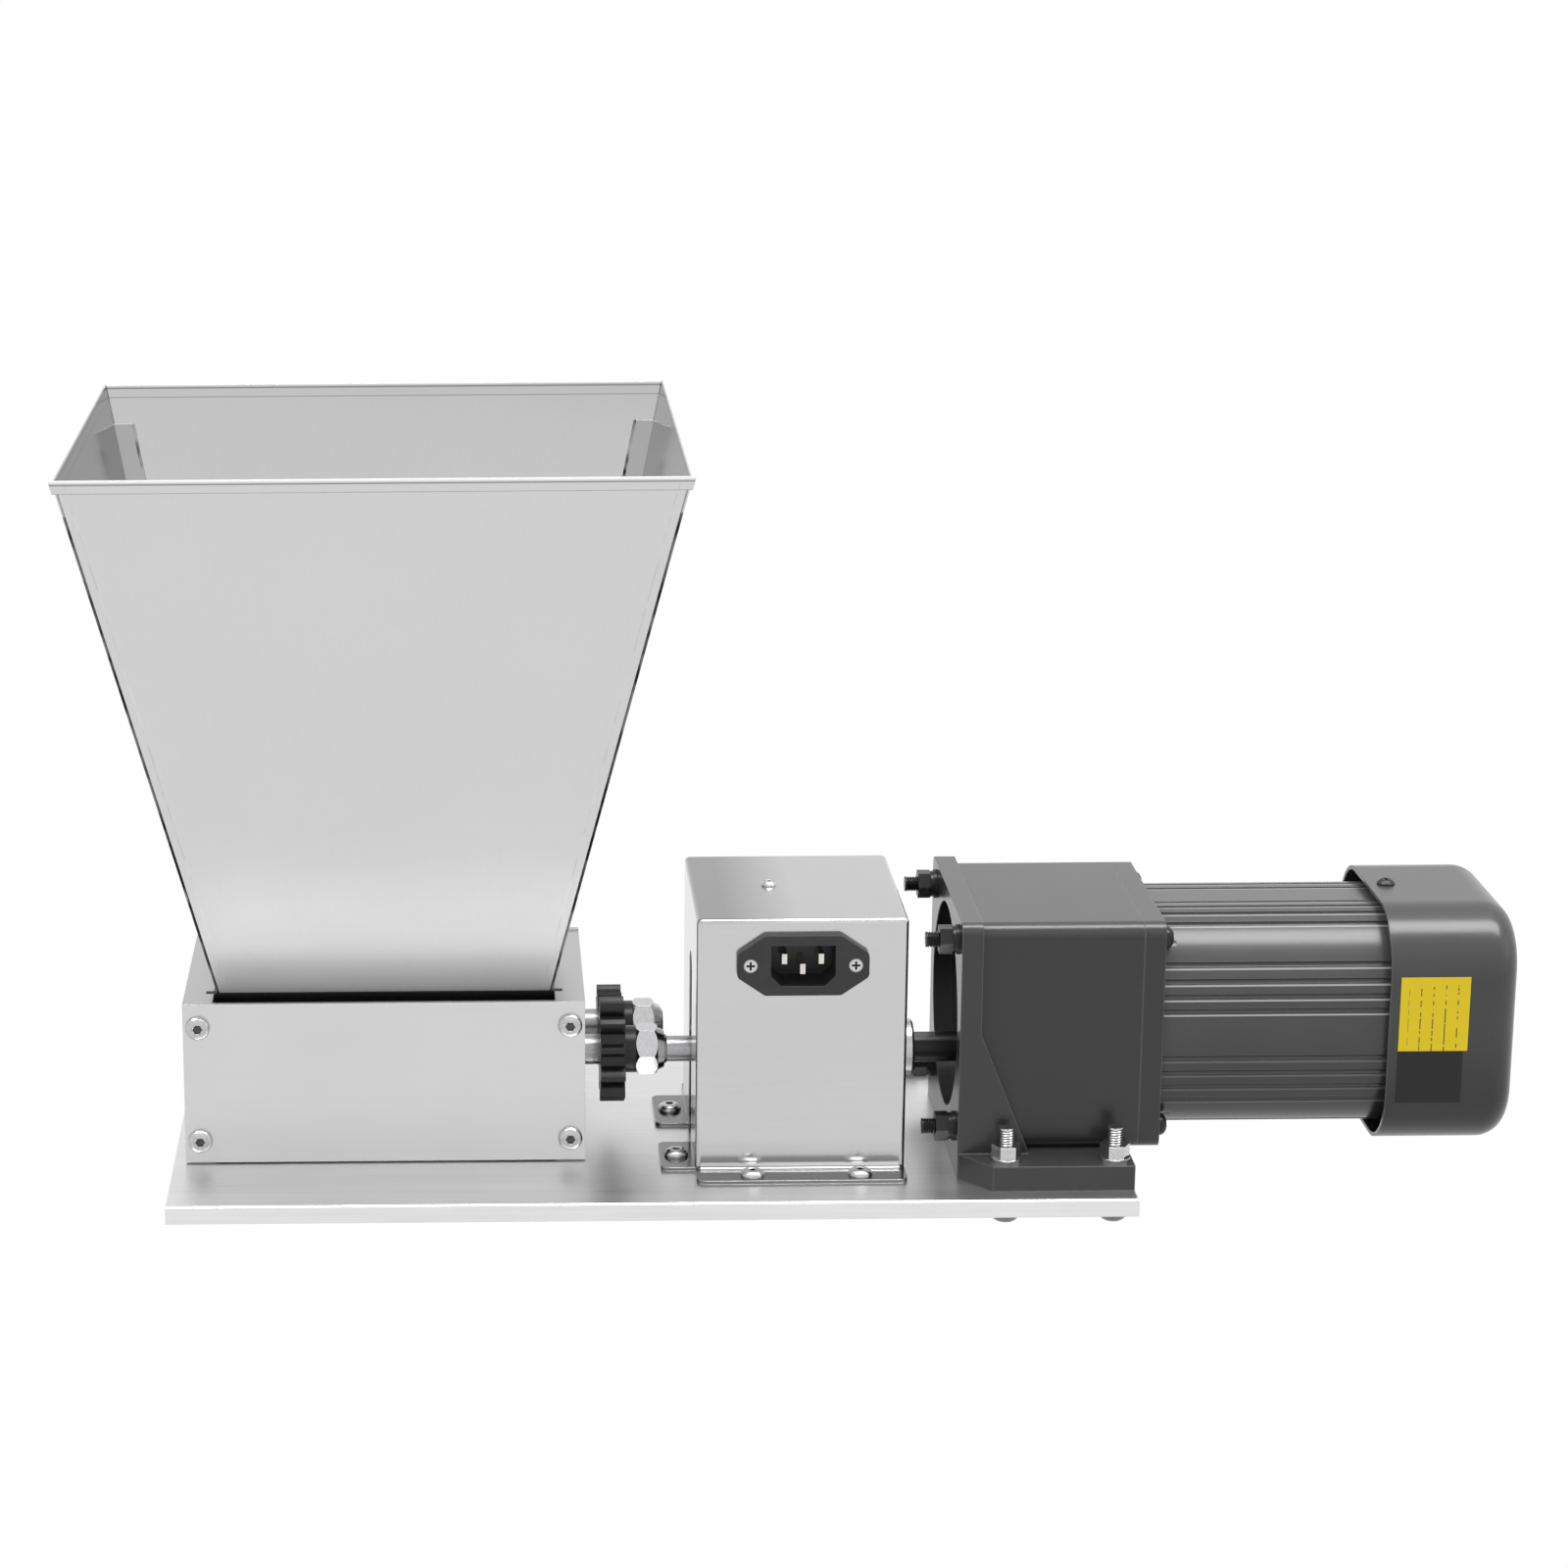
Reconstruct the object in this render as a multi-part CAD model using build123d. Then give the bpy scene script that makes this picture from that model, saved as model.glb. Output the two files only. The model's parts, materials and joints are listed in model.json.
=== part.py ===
from build123d import *
import math
import os

# Two-roller grain mill with a hopper, driven by a geared motor, all on one base plate.
# Millimetres. Pieces are laid out from the base plate's front left top corner: X to the
# right along the shafts, Y to the back, Z up. Each is moved to the row's frame as it is
# written: centre of the overall length and depth, at the height of the lowest screw heads.

# base plate
plate_margin = 0.5
plate_depth = 190.0
plate_thickness = 7.0
plate_chamfer = 0.6
outlet_end_wall = 9.0
outlet_depth = 56.0

# mill body
body_left = 5.0
body_width = 155.0
body_front = 46.7
body_depth = 98.0
body_above_shaft = 28.0
block_thickness = 11.5
block_corner = 5.0
panel_thickness = 2.0
panel_gap = 0.6

# rollers and their gears
drive_y = 72.4
roller_diameter = 30.4
roller_gap = 1.1
roller_side_gap = 1.0
journal_diameter = 12.0
bush_wall = 3.0
running_gap = 0.03
gear_standoff = 6.4
gear_width = 9.6
drive_teeth = 11
driven_teeth = 8
gear_addendum = 2.4
gear_clearance = 0.5
gear_backlash = 0.6
shaft_flat = 10.2
spacer_wall = 3.25
spacer_length = 4.5
lock_nut_wall = 3.0
lock_nut_hex = 8.5
lock_nut_collar = 2.6

# hopper
rim_width = 229.9
rim_depth = 217.1
rim_height = 281.6
foot_gap = 0.9
foot_depth = 54.0
sheet = 1.0
hem_height = 5.0
corner_flange_width = 8.0
corner_flange_drop = 15.0
tongue_drop = 3.5
tongue_inset = 6.0
seat_lip = 3.4
guide_thickness = 1.5
guide_tenon = 3.0
fit_gap = 0.05

# drive cover
cover_standoff = 42.0
cover_length = 80.6
cover_front = 32.7
cover_depth = 88.8
cover_height = 101.6
cover_sheet = 1.5
cover_bend = 2.0
cover_foot = 13.6
cover_foot_corner = 4.0
cover_crease = 2.5
tab_reach = 12.0
tab_spans = ((1.5, 30.5), (52.0, 85.5))
tab_screw_inset = 5.5
foot_screw_insets = (21.5, 62.8)
foot_screw_reach = 7.7
shaft_slot_width = 16.0
shaft_slot_rise = 40.0
coupling_slot_width = 26.0

# mains inlet, an ordinary three-pin appliance inlet held by two screws 40 mm apart
inlet_offset = 40.3
inlet_drop = 17.6
inlet_width = 50.2
inlet_height = 23.6
inlet_top_half = 14.5
inlet_ear_half = 4.5
inlet_flange = 3.2
inlet_screw_pitch = 40.0
socket_width = 24.5
socket_height = 16.0
socket_depth = 16.0
socket_chamfer = 4.0
inlet_wall = 1.5
inlet_floor = 3.0
pin_width = 2.0
pin_height = 4.0
pin_pitch = 14.0
pin_rise = 2.0
pin_recess = 2.5
tail_length = 8.0

# start capacitor under the cover's roof
capacitor_length = 40.0
capacitor_depth = 26.0
capacitor_height = 17.0
capacitor_tab = 10.0
capacitor_screw_offset = (30.5, 46.0)

# coupling
coupling_diameter = 22.0
coupling_inset = 33.6
coupling_length = 40.0
input_diameter = 10.0
output_diameter = 12.0
set_screw_diameter = 5.0

# bracket and motor frame
bracket_standoff = 19.1
bracket_thickness = 8.1
bracket_corner = 4.0
bracket_rise = 1.5
bracket_hole = 80.0
bracket_foot_length = 65.9
bracket_foot_ledge = 14.5
bracket_foot_height = 10.0
bracket_foot_chamfer = (12.0, 15.0)
gusset_rise = 48.0
gusset_length = 19.0
gusset_thickness = 3.9
gusset_gap = 0.1
frame_size = 90.0
frame_corner = 5.0
frame_bolt_inset = 7.5
output_drop = 18.0
case_length = 61.6
case_wall = 5.0
case_front = 12.0
case_post = 8.0
inner_plate_thickness = 6.0
inner_plate_start = 40.0
flange_thickness = 8.1

# gear train inside the case
train_module = 0.8
train_addendum = 0.6
train_dedendum = 0.85
train_backlash = 0.12
first_pinion_teeth = 12
first_wheel_teeth = 36
second_pinion_teeth = 14
second_wheel_teeth = 35
wheel_width = 8.0
pinion_overhang = 1.5
layshaft_diameter = 8.0
output_step = 21.0
output_flat_depth = 1.0
output_flat_length = 20.0
small_journal = 8.0
ball_bearing_od = 28.0
small_bearing_od = 16.0
bearing_width = 8.0
small_bearing_width = 5.0

# motor
motor_half = 43.0
motor_corner = 30.0
motor_length = 88.4
motor_bore = 78.0
groove_offsets = (9.4, 15.2, 21.0, 27.0)
groove_radius = 1.1
stator_inner = 51.0
stator_length = 46.0
winding_length = 13.0
rotor_gap = 0.5
rotor_overhang = 24.0
stator_offset = 20.0
rotor_ring_length = 5.0
rotor_ring_width = 7.0
rotor_shaft_diameter = 12.0
motor_bearing_od = 28.0
spigot_length = 4.0
rear_shield_thickness = 8.0
shield_lug_width = 14.0
shield_lug_length = 8.0
shield_lug_inner = 20.0
shield_cap_thickness = 1.5
fan_diameter = 78.0
fan_width = 18.0
fan_blades = 8
fan_blade_thickness = 2.0
fan_disc_thickness = 2.0
fan_hub_length = 12.0
fan_hub_radius = 11.0
fan_offset = 10.0
fan_cover_lap = 2.9
fan_cover_length = 50.0
fan_cover_half = 47.0
fan_cover_corner = 24.0
fan_cover_round = 11.0
fan_cover_wall = 1.5
fan_cover_screw_inset = 7.0
vent_count = 14
vent_inner = 9.0
vent_outer = 27.0
vent_width = 3.6
label_thickness = 0.2
rating_label = (26.4, 30.0)
plain_label = (24.5, 17.0)
label_start = 4.6
label_gap = 1.0

# fasteners
panel_screw_head = 9.5
panel_screw_rise = 2.75
panel_screw_diameter = 5.0
panel_screw_reach = 14.0
panel_screw_top_inset = 9.5
panel_screw_low_inset = 8.9
foot_bolt_diameter = 6.0
foot_head_diameter = 12.0
foot_head_rise = 5.8
foot_collar_diameter = 14.0
foot_collar_thickness = 1.6
foot_bolt_top = 23.0
foot_bolt_insets = (17.9, 59.1)
foot_bolt_edge = 8.3
foot_nut_flats = 10.0
foot_nut_height = 5.0
washer_diameter = 12.0
washer_thickness = 1.3
hex_socket = 3.0
foot_hex_socket = 4.0
cover_hex_socket = 2.5
mill_screw_reach = 14.0
mill_screw_inset = 21.5
cover_screw_head = 9.3
cover_screw_rise = 2.6
cover_screw_diameter = 4.0
inlet_screw_head = 5.6
capacitor_screw_head = 5.8
fan_screw_head = 7.0
fan_screw_rise = 2.0
fan_screw_reach = 9.0
cross_length = 3.8
cross_width = 0.8
inlet_screw_diameter = 3.0
frame_bolt_diameter = 6.0
frame_bolt_stub = 12.6
frame_head_diameter = 8.8
frame_head_height = 3.6
frame_hex_socket = 4.0
frame_nut_flats = 10.0
frame_nut_height = 5.0
frame_washer_diameter = 11.5
split_washer_diameter = 10.3
clearance = 0.4

# motor lead, held against the plate behind the bracket
lead_diameter = 6.0
lead_gland_diameter = 12.0
lead_gland_length = 7.0
lead_clip_foot = 10.0
lead_clip_thickness = 1.2
lead_clip_width = 9.0

# places worked out from the sizes above
body_right = body_left + body_width
roller_pitch = roller_diameter + roller_gap
bush_diameter = journal_diameter + 2 * bush_wall
spacer_diameter = journal_diameter + 2 * spacer_wall
lock_nut_flats = journal_diameter + 2 * lock_nut_wall
shaft_z = bracket_foot_height + frame_size / 2 - output_drop
body_height = shaft_z + body_above_shaft
body_back = body_front + body_depth
inner_left = body_left + block_thickness
inner_right = body_right - block_thickness
foot_width = inner_right - inner_left - 2 * foot_gap
outlet_length = inner_right - inner_left - 2 * outlet_end_wall
driven_y = drive_y + roller_pitch
nip_y = drive_y + roller_pitch / 2
gear_start = body_right + gear_standoff
gear_end = gear_start + gear_width
nut_start = gear_end + spacer_length
nut_end = nut_start + lock_nut_hex + lock_nut_collar
gear_module = 2 * roller_pitch / (drive_teeth + driven_teeth)
cover_left = body_right + cover_standoff
cover_right = cover_left + cover_length
coupling_start = cover_right - coupling_inset
bracket_face = cover_right + bracket_standoff
bracket_half_width = frame_size / 2 + gusset_gap + gusset_thickness
bracket_foot_width = 2 * bracket_half_width + 2 * bracket_foot_ledge
plate_length = bracket_face + bracket_foot_length + plate_margin
frame_bolt_pitch = frame_size - 2 * frame_bolt_inset
frame_bolt_end = bracket_face - frame_bolt_stub
gusset_top = bracket_foot_height + gusset_rise
shaft_slot_top = shaft_z + shaft_slot_rise
inlet_z = cover_height - inlet_drop
cover_back = cover_front + cover_depth
case_start = bracket_face + bracket_thickness
case_end = case_start + case_length
motor_start = case_end + flange_thickness
motor_end = motor_start + motor_length
stator_start = motor_start + stator_offset
motor_z = bracket_foot_height + frame_size / 2
output_z = shaft_z
fan_cover_start = motor_end - fan_cover_lap
fan_cover_end = fan_cover_start + fan_cover_length
fan_cover_front = drive_y - fan_cover_half
foot_front = drive_y - bracket_foot_width / 2
foot_back = drive_y + bracket_foot_width / 2
hopper_x = (inner_left + inner_right) / 2 + 0.1
rim_left = hopper_x - rim_width / 2
lowest_z = -plate_thickness - foot_collar_thickness - foot_head_rise
overall_middle_x = (rim_left + fan_cover_end) / 2
frame_shift = Location((-overall_middle_x, -nip_y, -lowest_z))
inlet_x = cover_left + inlet_offset
capacitor_screw = (cover_left + capacitor_screw_offset[0], cover_front + capacitor_screw_offset[1])


def block(x0, x1, y0, y1, z0, z1):
    """A box between two limits on each axis."""
    shape = Box(x1 - x0, y1 - y0, z1 - z0, align=(Align.MIN, Align.MIN, Align.MIN))
    return shape.moved(Location((x0, y0, z0)))


def rod(x0, x1, y, z, radius):
    """A round bar along X."""
    shape = Cylinder(radius, x1 - x0, align=(Align.CENTER, Align.CENTER, Align.MIN))
    return shape.moved(Location((x0, y, z), (0, 90, 0)))


def rod_y(x, y0, y1, z, radius):
    """A round bar along Y."""
    shape = Cylinder(radius, y1 - y0, align=(Align.CENTER, Align.CENTER, Align.MIN))
    return shape.moved(Location((x, y0, z), (-90, 0, 0)))


def rod_z(x, y, z0, z1, radius):
    """A round bar along Z."""
    shape = Cylinder(radius, z1 - z0, align=(Align.CENTER, Align.CENTER, Align.MIN))
    return shape.moved(Location((x, y, z0)))


def prism_x(sketch, x0, x1):
    """A sketch drawn in Y and Z, carried from x0 to x1."""
    return extrude(Plane.YZ.offset(x0) * sketch, amount=x1 - x0)


def prism_y(sketch, y0, y1):
    """A sketch drawn in X and Z, carried from y0 to y1."""
    return extrude(Plane.XZ.offset(-y1) * sketch, amount=y1 - y0)


def prism_z(sketch, z0, z1):
    """A sketch drawn in X and Y, carried from z0 to z1."""
    return extrude(Plane.XY.offset(z0) * sketch, amount=z1 - z0)


def outline(points):
    """A flat face inside a closed line through the points."""
    return make_face(Polyline(*points, close=True))


def hexagon(flats):
    """A hexagon by its width across flats."""
    return RegularPolygon(flats / 2, 6, major_radius=False)


def domed_head(diameter, rise, socket):
    """A button screw head standing on Z = 0, with a hexagon socket when one is asked for."""
    radius = diameter / 2
    edge = rise * 0.25
    crown = 0.5 * radius
    profile = Polyline((0, 0), (radius, 0), (radius, edge))
    over = ThreePointArc((radius, edge), (0.80 * radius, edge + 0.62 * (rise - edge)), (crown, rise))
    face = make_face(profile + over + Polyline((crown, rise), (0, rise), (0, 0)))
    head = revolve(Plane.XZ * face, Axis.Z)
    if socket:
        head -= prism_z(hexagon(socket), rise * 0.45, rise + 1)
    return head


def facing(x, y, z, way):
    """The place of a screw whose head looks along -Y, +Y, -Z or +Z."""
    turns = {"-Y": (90, 0, 0), "+Y": (-90, 0, 0), "-Z": (180, 0, 0), "+Z": (0, 0, 0)}
    return Location((x, y, z), turns[way])


def screw(diameter, reach, head_diameter, head_rise, socket=0.0):
    """A button screw: head above Z = 0, shank below it."""
    return domed_head(head_diameter, head_rise, socket) + rod_z(0, 0, -reach, 0, diameter / 2)


def foot_bolt(reach):
    """A button screw with a collar under its head, which the mill stands on."""
    head = domed_head(foot_head_diameter, foot_head_rise, foot_hex_socket)
    collar = rod_z(0, 0, 0, foot_collar_thickness, foot_collar_diameter / 2)
    shank = rod_z(0, 0, -reach, 0, foot_bolt_diameter / 2)
    return head.moved(Location((0, 0, foot_collar_thickness))) + collar + shank


def ring_x(x0, x1, y, z, outer, inner):
    """A plain ring along X."""
    return rod(x0, x1, y, z, outer / 2) - rod(x0 - 1, x1 + 1, y, z, inner / 2)


def bearing(x0, width, y, z, outer, inner):
    """A shielded ball bearing: one closed ring with a recessed shield on each side."""
    middle = (outer + inner) / 2
    band = (outer - inner) * 0.3
    race = ring_x(x0, x0 + width, y, z, outer, inner)
    for start in (x0 - 1, x0 + width - 0.5):
        race -= ring_x(start, start + 1.5, y, z, middle + band, middle - band)
    return race


def involute(angle):
    return math.tan(angle) - angle


def gear_face(teeth, module, addendum, dedendum, backlash, pressure, steps):
    """A spur gear's face, with a tooth on the sketch's first axis."""
    pressure = math.radians(pressure)
    pitch_radius = module * teeth / 2
    base = pitch_radius * math.cos(pressure)
    tip = pitch_radius + addendum
    root = pitch_radius - dedendum
    half_at_pitch = (math.pi * module / 2 - backlash) / (2 * pitch_radius)
    start = max(base, root)
    flank = []
    if root < base:
        flank.append((root, half_at_pitch + involute(pressure)))
    for step in range(steps + 1):
        radius = start + (tip - start) * step / steps
        roll = math.acos(min(1.0, base / radius))
        flank.append((radius, half_at_pitch + involute(pressure) - involute(roll)))
    points = []
    for tooth in range(teeth):
        middle = 2 * math.pi * tooth / teeth
        rising = [(radius, middle - half) for radius, half in flank]
        falling = [(radius, middle + half) for radius, half in reversed(flank)]
        points += [(radius * math.cos(a), radius * math.sin(a)) for radius, a in rising + falling]
    return outline(points)


def keep(name, *shapes):
    """Moves a piece, or a group of like pieces, to the row's frame and writes it."""
    solids = [solid for shape in shapes for solid in shape.solids()]
    export_step(Compound(solids).moved(frame_shift), f"parts/{name}.step")


# base plate

mill_screw_places = [
    (x, y)
    for x in (body_left + block_thickness / 2, body_right - block_thickness / 2)
    for y in (body_front + mill_screw_inset, body_back - mill_screw_inset)
]
bracket_bolt_places = [
    (bracket_face + inset, y)
    for inset in foot_bolt_insets
    for y in (foot_front + foot_bolt_edge, foot_back - foot_bolt_edge)
]
cover_screw_places = [
    (cover_left + inset, y)
    for inset in foot_screw_insets
    for y in (cover_front - foot_screw_reach, cover_back + foot_screw_reach)
] + [
    (cover_left - tab_reach + tab_screw_inset, cover_front + (start + end) / 2)
    for start, end in tab_spans
]


def make_base_plate():
    plate = block(0, plate_length, 0, plate_depth, -plate_thickness, 0)
    plate = chamfer(plate.faces().sort_by(Axis.Z)[-1].edges(), plate_chamfer)
    middle = (body_left + body_right) / 2
    plate -= block(
        middle - outlet_length / 2,
        middle + outlet_length / 2,
        nip_y - outlet_depth / 2,
        nip_y + outlet_depth / 2,
        -plate_thickness - 1,
        1,
    )
    for x, y in mill_screw_places + bracket_bolt_places:
        plate -= rod_z(x, y, -plate_thickness - 1, 1, (foot_bolt_diameter + clearance) / 2)
    for x, y in cover_screw_places:
        plate -= rod_z(x, y, -plate_thickness - 1, 1, cover_screw_diameter / 2)
    plate -= rod_z(*lead_clip_screw, -plate_thickness - 1, 1, cover_screw_diameter / 2)
    keep("base_plate", plate)


# mill body

panel_screw_xs = (body_left + block_thickness / 2, body_right - block_thickness / 2)
panel_screw_zs = (body_height - panel_screw_top_inset, panel_gap + panel_screw_low_inset)


def guide_line(side):
    """The grain guide's upper surface: a level seat for the hopper, then down to the roller."""
    seat = nip_y + side * foot_depth / 2
    toe = nip_y + side * (roller_pitch / 2 + 0.6)
    toe_z = shaft_z + roller_diameter / 2 + 2.4
    inner = seat - side * (seat_lip - 1.2)
    return [(inner + side * seat_lip, body_height), (inner, body_height), (toe, toe_z)]


def guide_face(side, spare):
    """The guide's section, its sheet set below the upper surface, with a spare width all round."""
    outer, inner, toe = guide_line(side)
    run = math.dist(inner, toe)
    along = ((toe[0] - inner[0]) / run, (toe[1] - inner[1]) / run)
    below = (-abs(along[1]) * -side, -abs(along[0]))
    low_toe = (toe[0] + below[0] * guide_thickness, toe[1] + below[1] * guide_thickness)
    bend = math.tan(math.atan2(-along[1], abs(along[0])) / 2) * guide_thickness
    low_inner = (inner[0] + side * bend, inner[1] - guide_thickness)
    low_outer = (outer[0], outer[1] - guide_thickness)
    face = outline([outer, inner, toe, low_toe, low_inner, low_outer])
    return offset(face, spare, kind=Kind.INTERSECTION) if spare else face


def make_end_block(name, x0, x1, inner_face, inwards):
    low = body_front + panel_thickness
    high = body_back - panel_thickness
    section = outline(
        [
            (low, 0),
            (high, 0),
            (high, body_height - block_corner),
            (high - block_corner, body_height),
            (low, body_height),
        ]
    )
    piece = prism_x(section, x0, x1)
    for y in (drive_y, driven_y):
        piece -= rod(x0 - 1, x1 + 1, y, shaft_z, bush_diameter / 2)
    tenon_end = inner_face - inwards * (guide_tenon + fit_gap)
    for side in (-1, 1):
        slot = guide_face(side, fit_gap)
        piece -= prism_x(slot, min(tenon_end, inner_face + inwards), max(tenon_end, inner_face + inwards))
    middle = (x0 + x1) / 2
    depth = panel_screw_reach - panel_thickness
    for z in panel_screw_zs:
        piece -= rod_y(middle, low - 1, low + depth, z, panel_screw_diameter / 2)
        piece -= rod_y(middle, high - depth, high + 1, z, panel_screw_diameter / 2)
    for x, y in mill_screw_places:
        piece -= rod_z(x, y, -1, mill_screw_reach, foot_bolt_diameter / 2)
    keep(name, piece)


def make_panel(name, y0):
    panel = block(body_left, body_right, y0, y0 + panel_thickness, panel_gap, body_height)
    for x in panel_screw_xs:
        for z in panel_screw_zs:
            panel -= rod_y(x, y0 - 1, y0 + panel_thickness + 1, z, (panel_screw_diameter + clearance) / 2)
    keep(name, panel)


def make_mill_body():
    make_end_block("mill_left_block", body_left, inner_left, inner_left, 1)
    make_end_block("mill_right_block", inner_right, body_right, inner_right, -1)
    make_panel("mill_front_panel", body_front)
    make_panel("mill_back_panel", body_back - panel_thickness)
    one = screw(panel_screw_diameter, panel_screw_reach, panel_screw_head, panel_screw_rise, hex_socket)
    fronts = [one.moved(facing(x, body_front, z, "-Y")) for x in panel_screw_xs for z in panel_screw_zs]
    backs = [one.moved(facing(x, body_back, z, "+Y")) for x in panel_screw_xs for z in panel_screw_zs]
    keep("mill_panel_screws", *fronts, *backs)
    reach = plate_thickness + mill_screw_reach - 0.5
    foot = foot_bolt(reach)
    places = [facing(x, y, -plate_thickness, "-Z") for x, y in mill_screw_places]
    keep("mill_mount_screws", *[foot.moved(place) for place in places])
    for name, side in (("front_grain_guide", -1), ("back_grain_guide", 1)):
        keep(name, prism_x(guide_face(side, 0), inner_left - guide_tenon, inner_right + guide_tenon))
    bushes = []
    for x in (body_left, inner_right):
        for y in (drive_y, driven_y):
            bore = journal_diameter + 2 * running_gap
            bushes.append(ring_x(x, x + block_thickness, y, shaft_z, bush_diameter, bore))
    keep("roller_bushes", *bushes)


# rollers, their gears and what holds them


def flats(y, x0, x1):
    """What a pair of flats takes off a journal, above and below."""
    half = journal_diameter
    high = block(x0, x1, y - half, y + half, shaft_z + shaft_flat / 2, shaft_z + half)
    low = block(x0, x1, y - half, y + half, shaft_z - half, shaft_z - shaft_flat / 2)
    return high + low


def make_roller(name, y, input_end):
    left = inner_left + roller_side_gap
    right = inner_right - roller_side_gap
    piece = rod(left, right, y, shaft_z, roller_diameter / 2)
    piece = chamfer(piece.edges().filter_by(GeomType.CIRCLE), 0.5)
    piece += rod(body_left + 0.5, left + 1, y, shaft_z, journal_diameter / 2)
    piece += rod(right - 1, nut_end + 1, y, shaft_z, journal_diameter / 2)
    piece -= flats(y, gear_start, gear_end)
    if input_end:
        piece += rod(nut_end, input_end, y, shaft_z, input_diameter / 2)
    keep(name, piece)


def make_roller_gear(name, teeth, y, turn):
    dedendum = gear_addendum + gear_clearance
    face = gear_face(teeth, gear_module, gear_addendum, dedendum, gear_backlash, 25, 4)
    face = Pos(y, shaft_z) * (Rot(0, 0, turn) * face)
    gear = prism_x(face, gear_start, gear_end)
    bore = rod(gear_start - 1, gear_end + 1, y, shaft_z, journal_diameter / 2)
    bore -= flats(y, gear_start - 1, gear_end + 1)
    keep(name, gear - bore)


def make_lock_nut(name, y):
    """A hexagon nut with a round collar that holds a plastic ring."""
    nut = prism_x(Pos(y, shaft_z) * hexagon(lock_nut_flats), nut_start, nut_start + lock_nut_hex)
    across = lock_nut_flats / math.cos(math.pi / 6)
    bevel = Cone(across / 2, across / 2 - 1.4, 1.4, align=(Align.CENTER, Align.CENTER, Align.MIN))
    middle = rod(nut_start + 1.4, nut_start + lock_nut_hex - 1.4, y, shaft_z, across / 2)
    right = bevel.moved(Location((nut_start + lock_nut_hex - 1.4, y, shaft_z), (0, 90, 0)))
    left = bevel.moved(Location((nut_start + 1.4, y, shaft_z), (0, -90, 0)))
    nut &= middle + right + left
    rim = journal_diameter / 2
    collar = Cone(rim + 2.4, rim + 1.2, lock_nut_collar, align=(Align.CENTER, Align.CENTER, Align.MIN))
    nut += collar.moved(Location((nut_start + lock_nut_hex, y, shaft_z), (0, 90, 0)))
    nut -= rod(nut_start - 1, nut_end + 1, y, shaft_z, journal_diameter / 2)
    keep(name, nut)


def make_rollers():
    coupling_middle = coupling_start + coupling_length / 2
    make_roller("drive_roller", drive_y, coupling_middle - 2)
    make_roller("driven_roller", driven_y, 0)
    # a tooth of the drive gear points at the driven shaft, and a gap of the driven gear faces it
    make_roller_gear("drive_gear", drive_teeth, drive_y, 0)
    make_roller_gear("driven_gear", driven_teeth, driven_y, 180 + 180 / driven_teeth)
    for name, y in (("drive", drive_y), ("driven", driven_y)):
        keep(f"{name}_spacer", ring_x(gear_end, nut_start, y, shaft_z, spacer_diameter, journal_diameter))
        make_lock_nut(f"{name}_lock_nut", y)


# hopper: four sheets whose outer faces run straight from the rim to the foot


def hopper_side(half_foot, half_rim, z, inset, slope_factor):
    share = (rim_height - z) / (rim_height - body_height)
    return half_rim + (half_foot - half_rim) * share - inset * slope_factor


def half_x(z, inset):
    """Half the hopper's width at a height, measured to a surface a depth inside the rim's."""
    foot = foot_width / 2 + sheet
    run = (rim_width / 2 - foot) / (rim_height - body_height)
    return hopper_side(foot, rim_width / 2, z, inset, math.hypot(1, run))


def half_y(z, inset):
    """Half the hopper's depth at a height, measured to a surface a depth inside the rim's."""
    foot = foot_depth / 2 + sheet
    run = (rim_depth / 2 - foot) / (rim_height - body_height)
    return hopper_side(foot, rim_depth / 2, z, inset, math.hypot(1, run))


def between(z0, z1, span):
    """A flat-sided solid between two level rectangles; span gives x0, x1, y0, y1 at a height."""
    faces = []
    for z in (z0, z1):
        x0, x1, y0, y1 = span(z)
        corners = ((x0, y0, z), (x1, y0, z), (x1, y1, z), (x0, y1, z))
        faces.append(Face(Wire.make_polygon(corners, close=True)))
    return loft(faces, ruled=True)


def make_hopper_end(name, side):
    """The left or right panel: sheet, outward hem, corner flanges and a tongue into the throat."""

    def at(z, low_inset, high_inset):
        edges = (hopper_x + side * half_x(z, low_inset), hopper_x + side * half_x(z, high_inset))
        return min(edges), max(edges)

    def wall(z):
        return (*at(z, sheet, 2 * sheet), nip_y - half_y(z, sheet), nip_y + half_y(z, sheet))

    def hem(z):
        return (*at(z, 0, sheet), nip_y - half_y(z, sheet), nip_y + half_y(z, sheet))

    def tongue(z):
        reach = foot_depth / 2 - tongue_inset
        return (*at(z, sheet, 2 * sheet), nip_y - reach, nip_y + reach)

    piece = between(body_height, rim_height, wall)
    piece += between(rim_height - hem_height, rim_height, hem)
    piece += between(body_height - tongue_drop, body_height, tongue)
    for way in (-1, 1):

        def flange(z):
            near = nip_y + way * half_y(z, 2 * sheet)
            far = nip_y + way * half_y(z, 3 * sheet)
            return (*at(z, 2 * sheet, 2 * sheet + corner_flange_width), min(near, far), max(near, far))

        piece += between(body_height + 2, rim_height - corner_flange_drop, flange)
    keep(name, piece)


def make_hopper_face(name, side):
    """The front or back panel, whose hem runs over the ends of the side panels' hems."""

    def at(z, low_inset, high_inset):
        edges = (nip_y + side * half_y(z, low_inset), nip_y + side * half_y(z, high_inset))
        return min(edges), max(edges)

    def wall(z):
        reach = half_x(z, 2 * sheet) - fit_gap
        return (hopper_x - reach, hopper_x + reach, *at(z, sheet, 2 * sheet))

    def hem(z):
        return (hopper_x - half_x(z, 0), hopper_x + half_x(z, 0), *at(z, 0, sheet))

    piece = between(body_height, rim_height, wall)
    piece += between(rim_height - hem_height, rim_height, hem)
    keep(name, piece)


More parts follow.
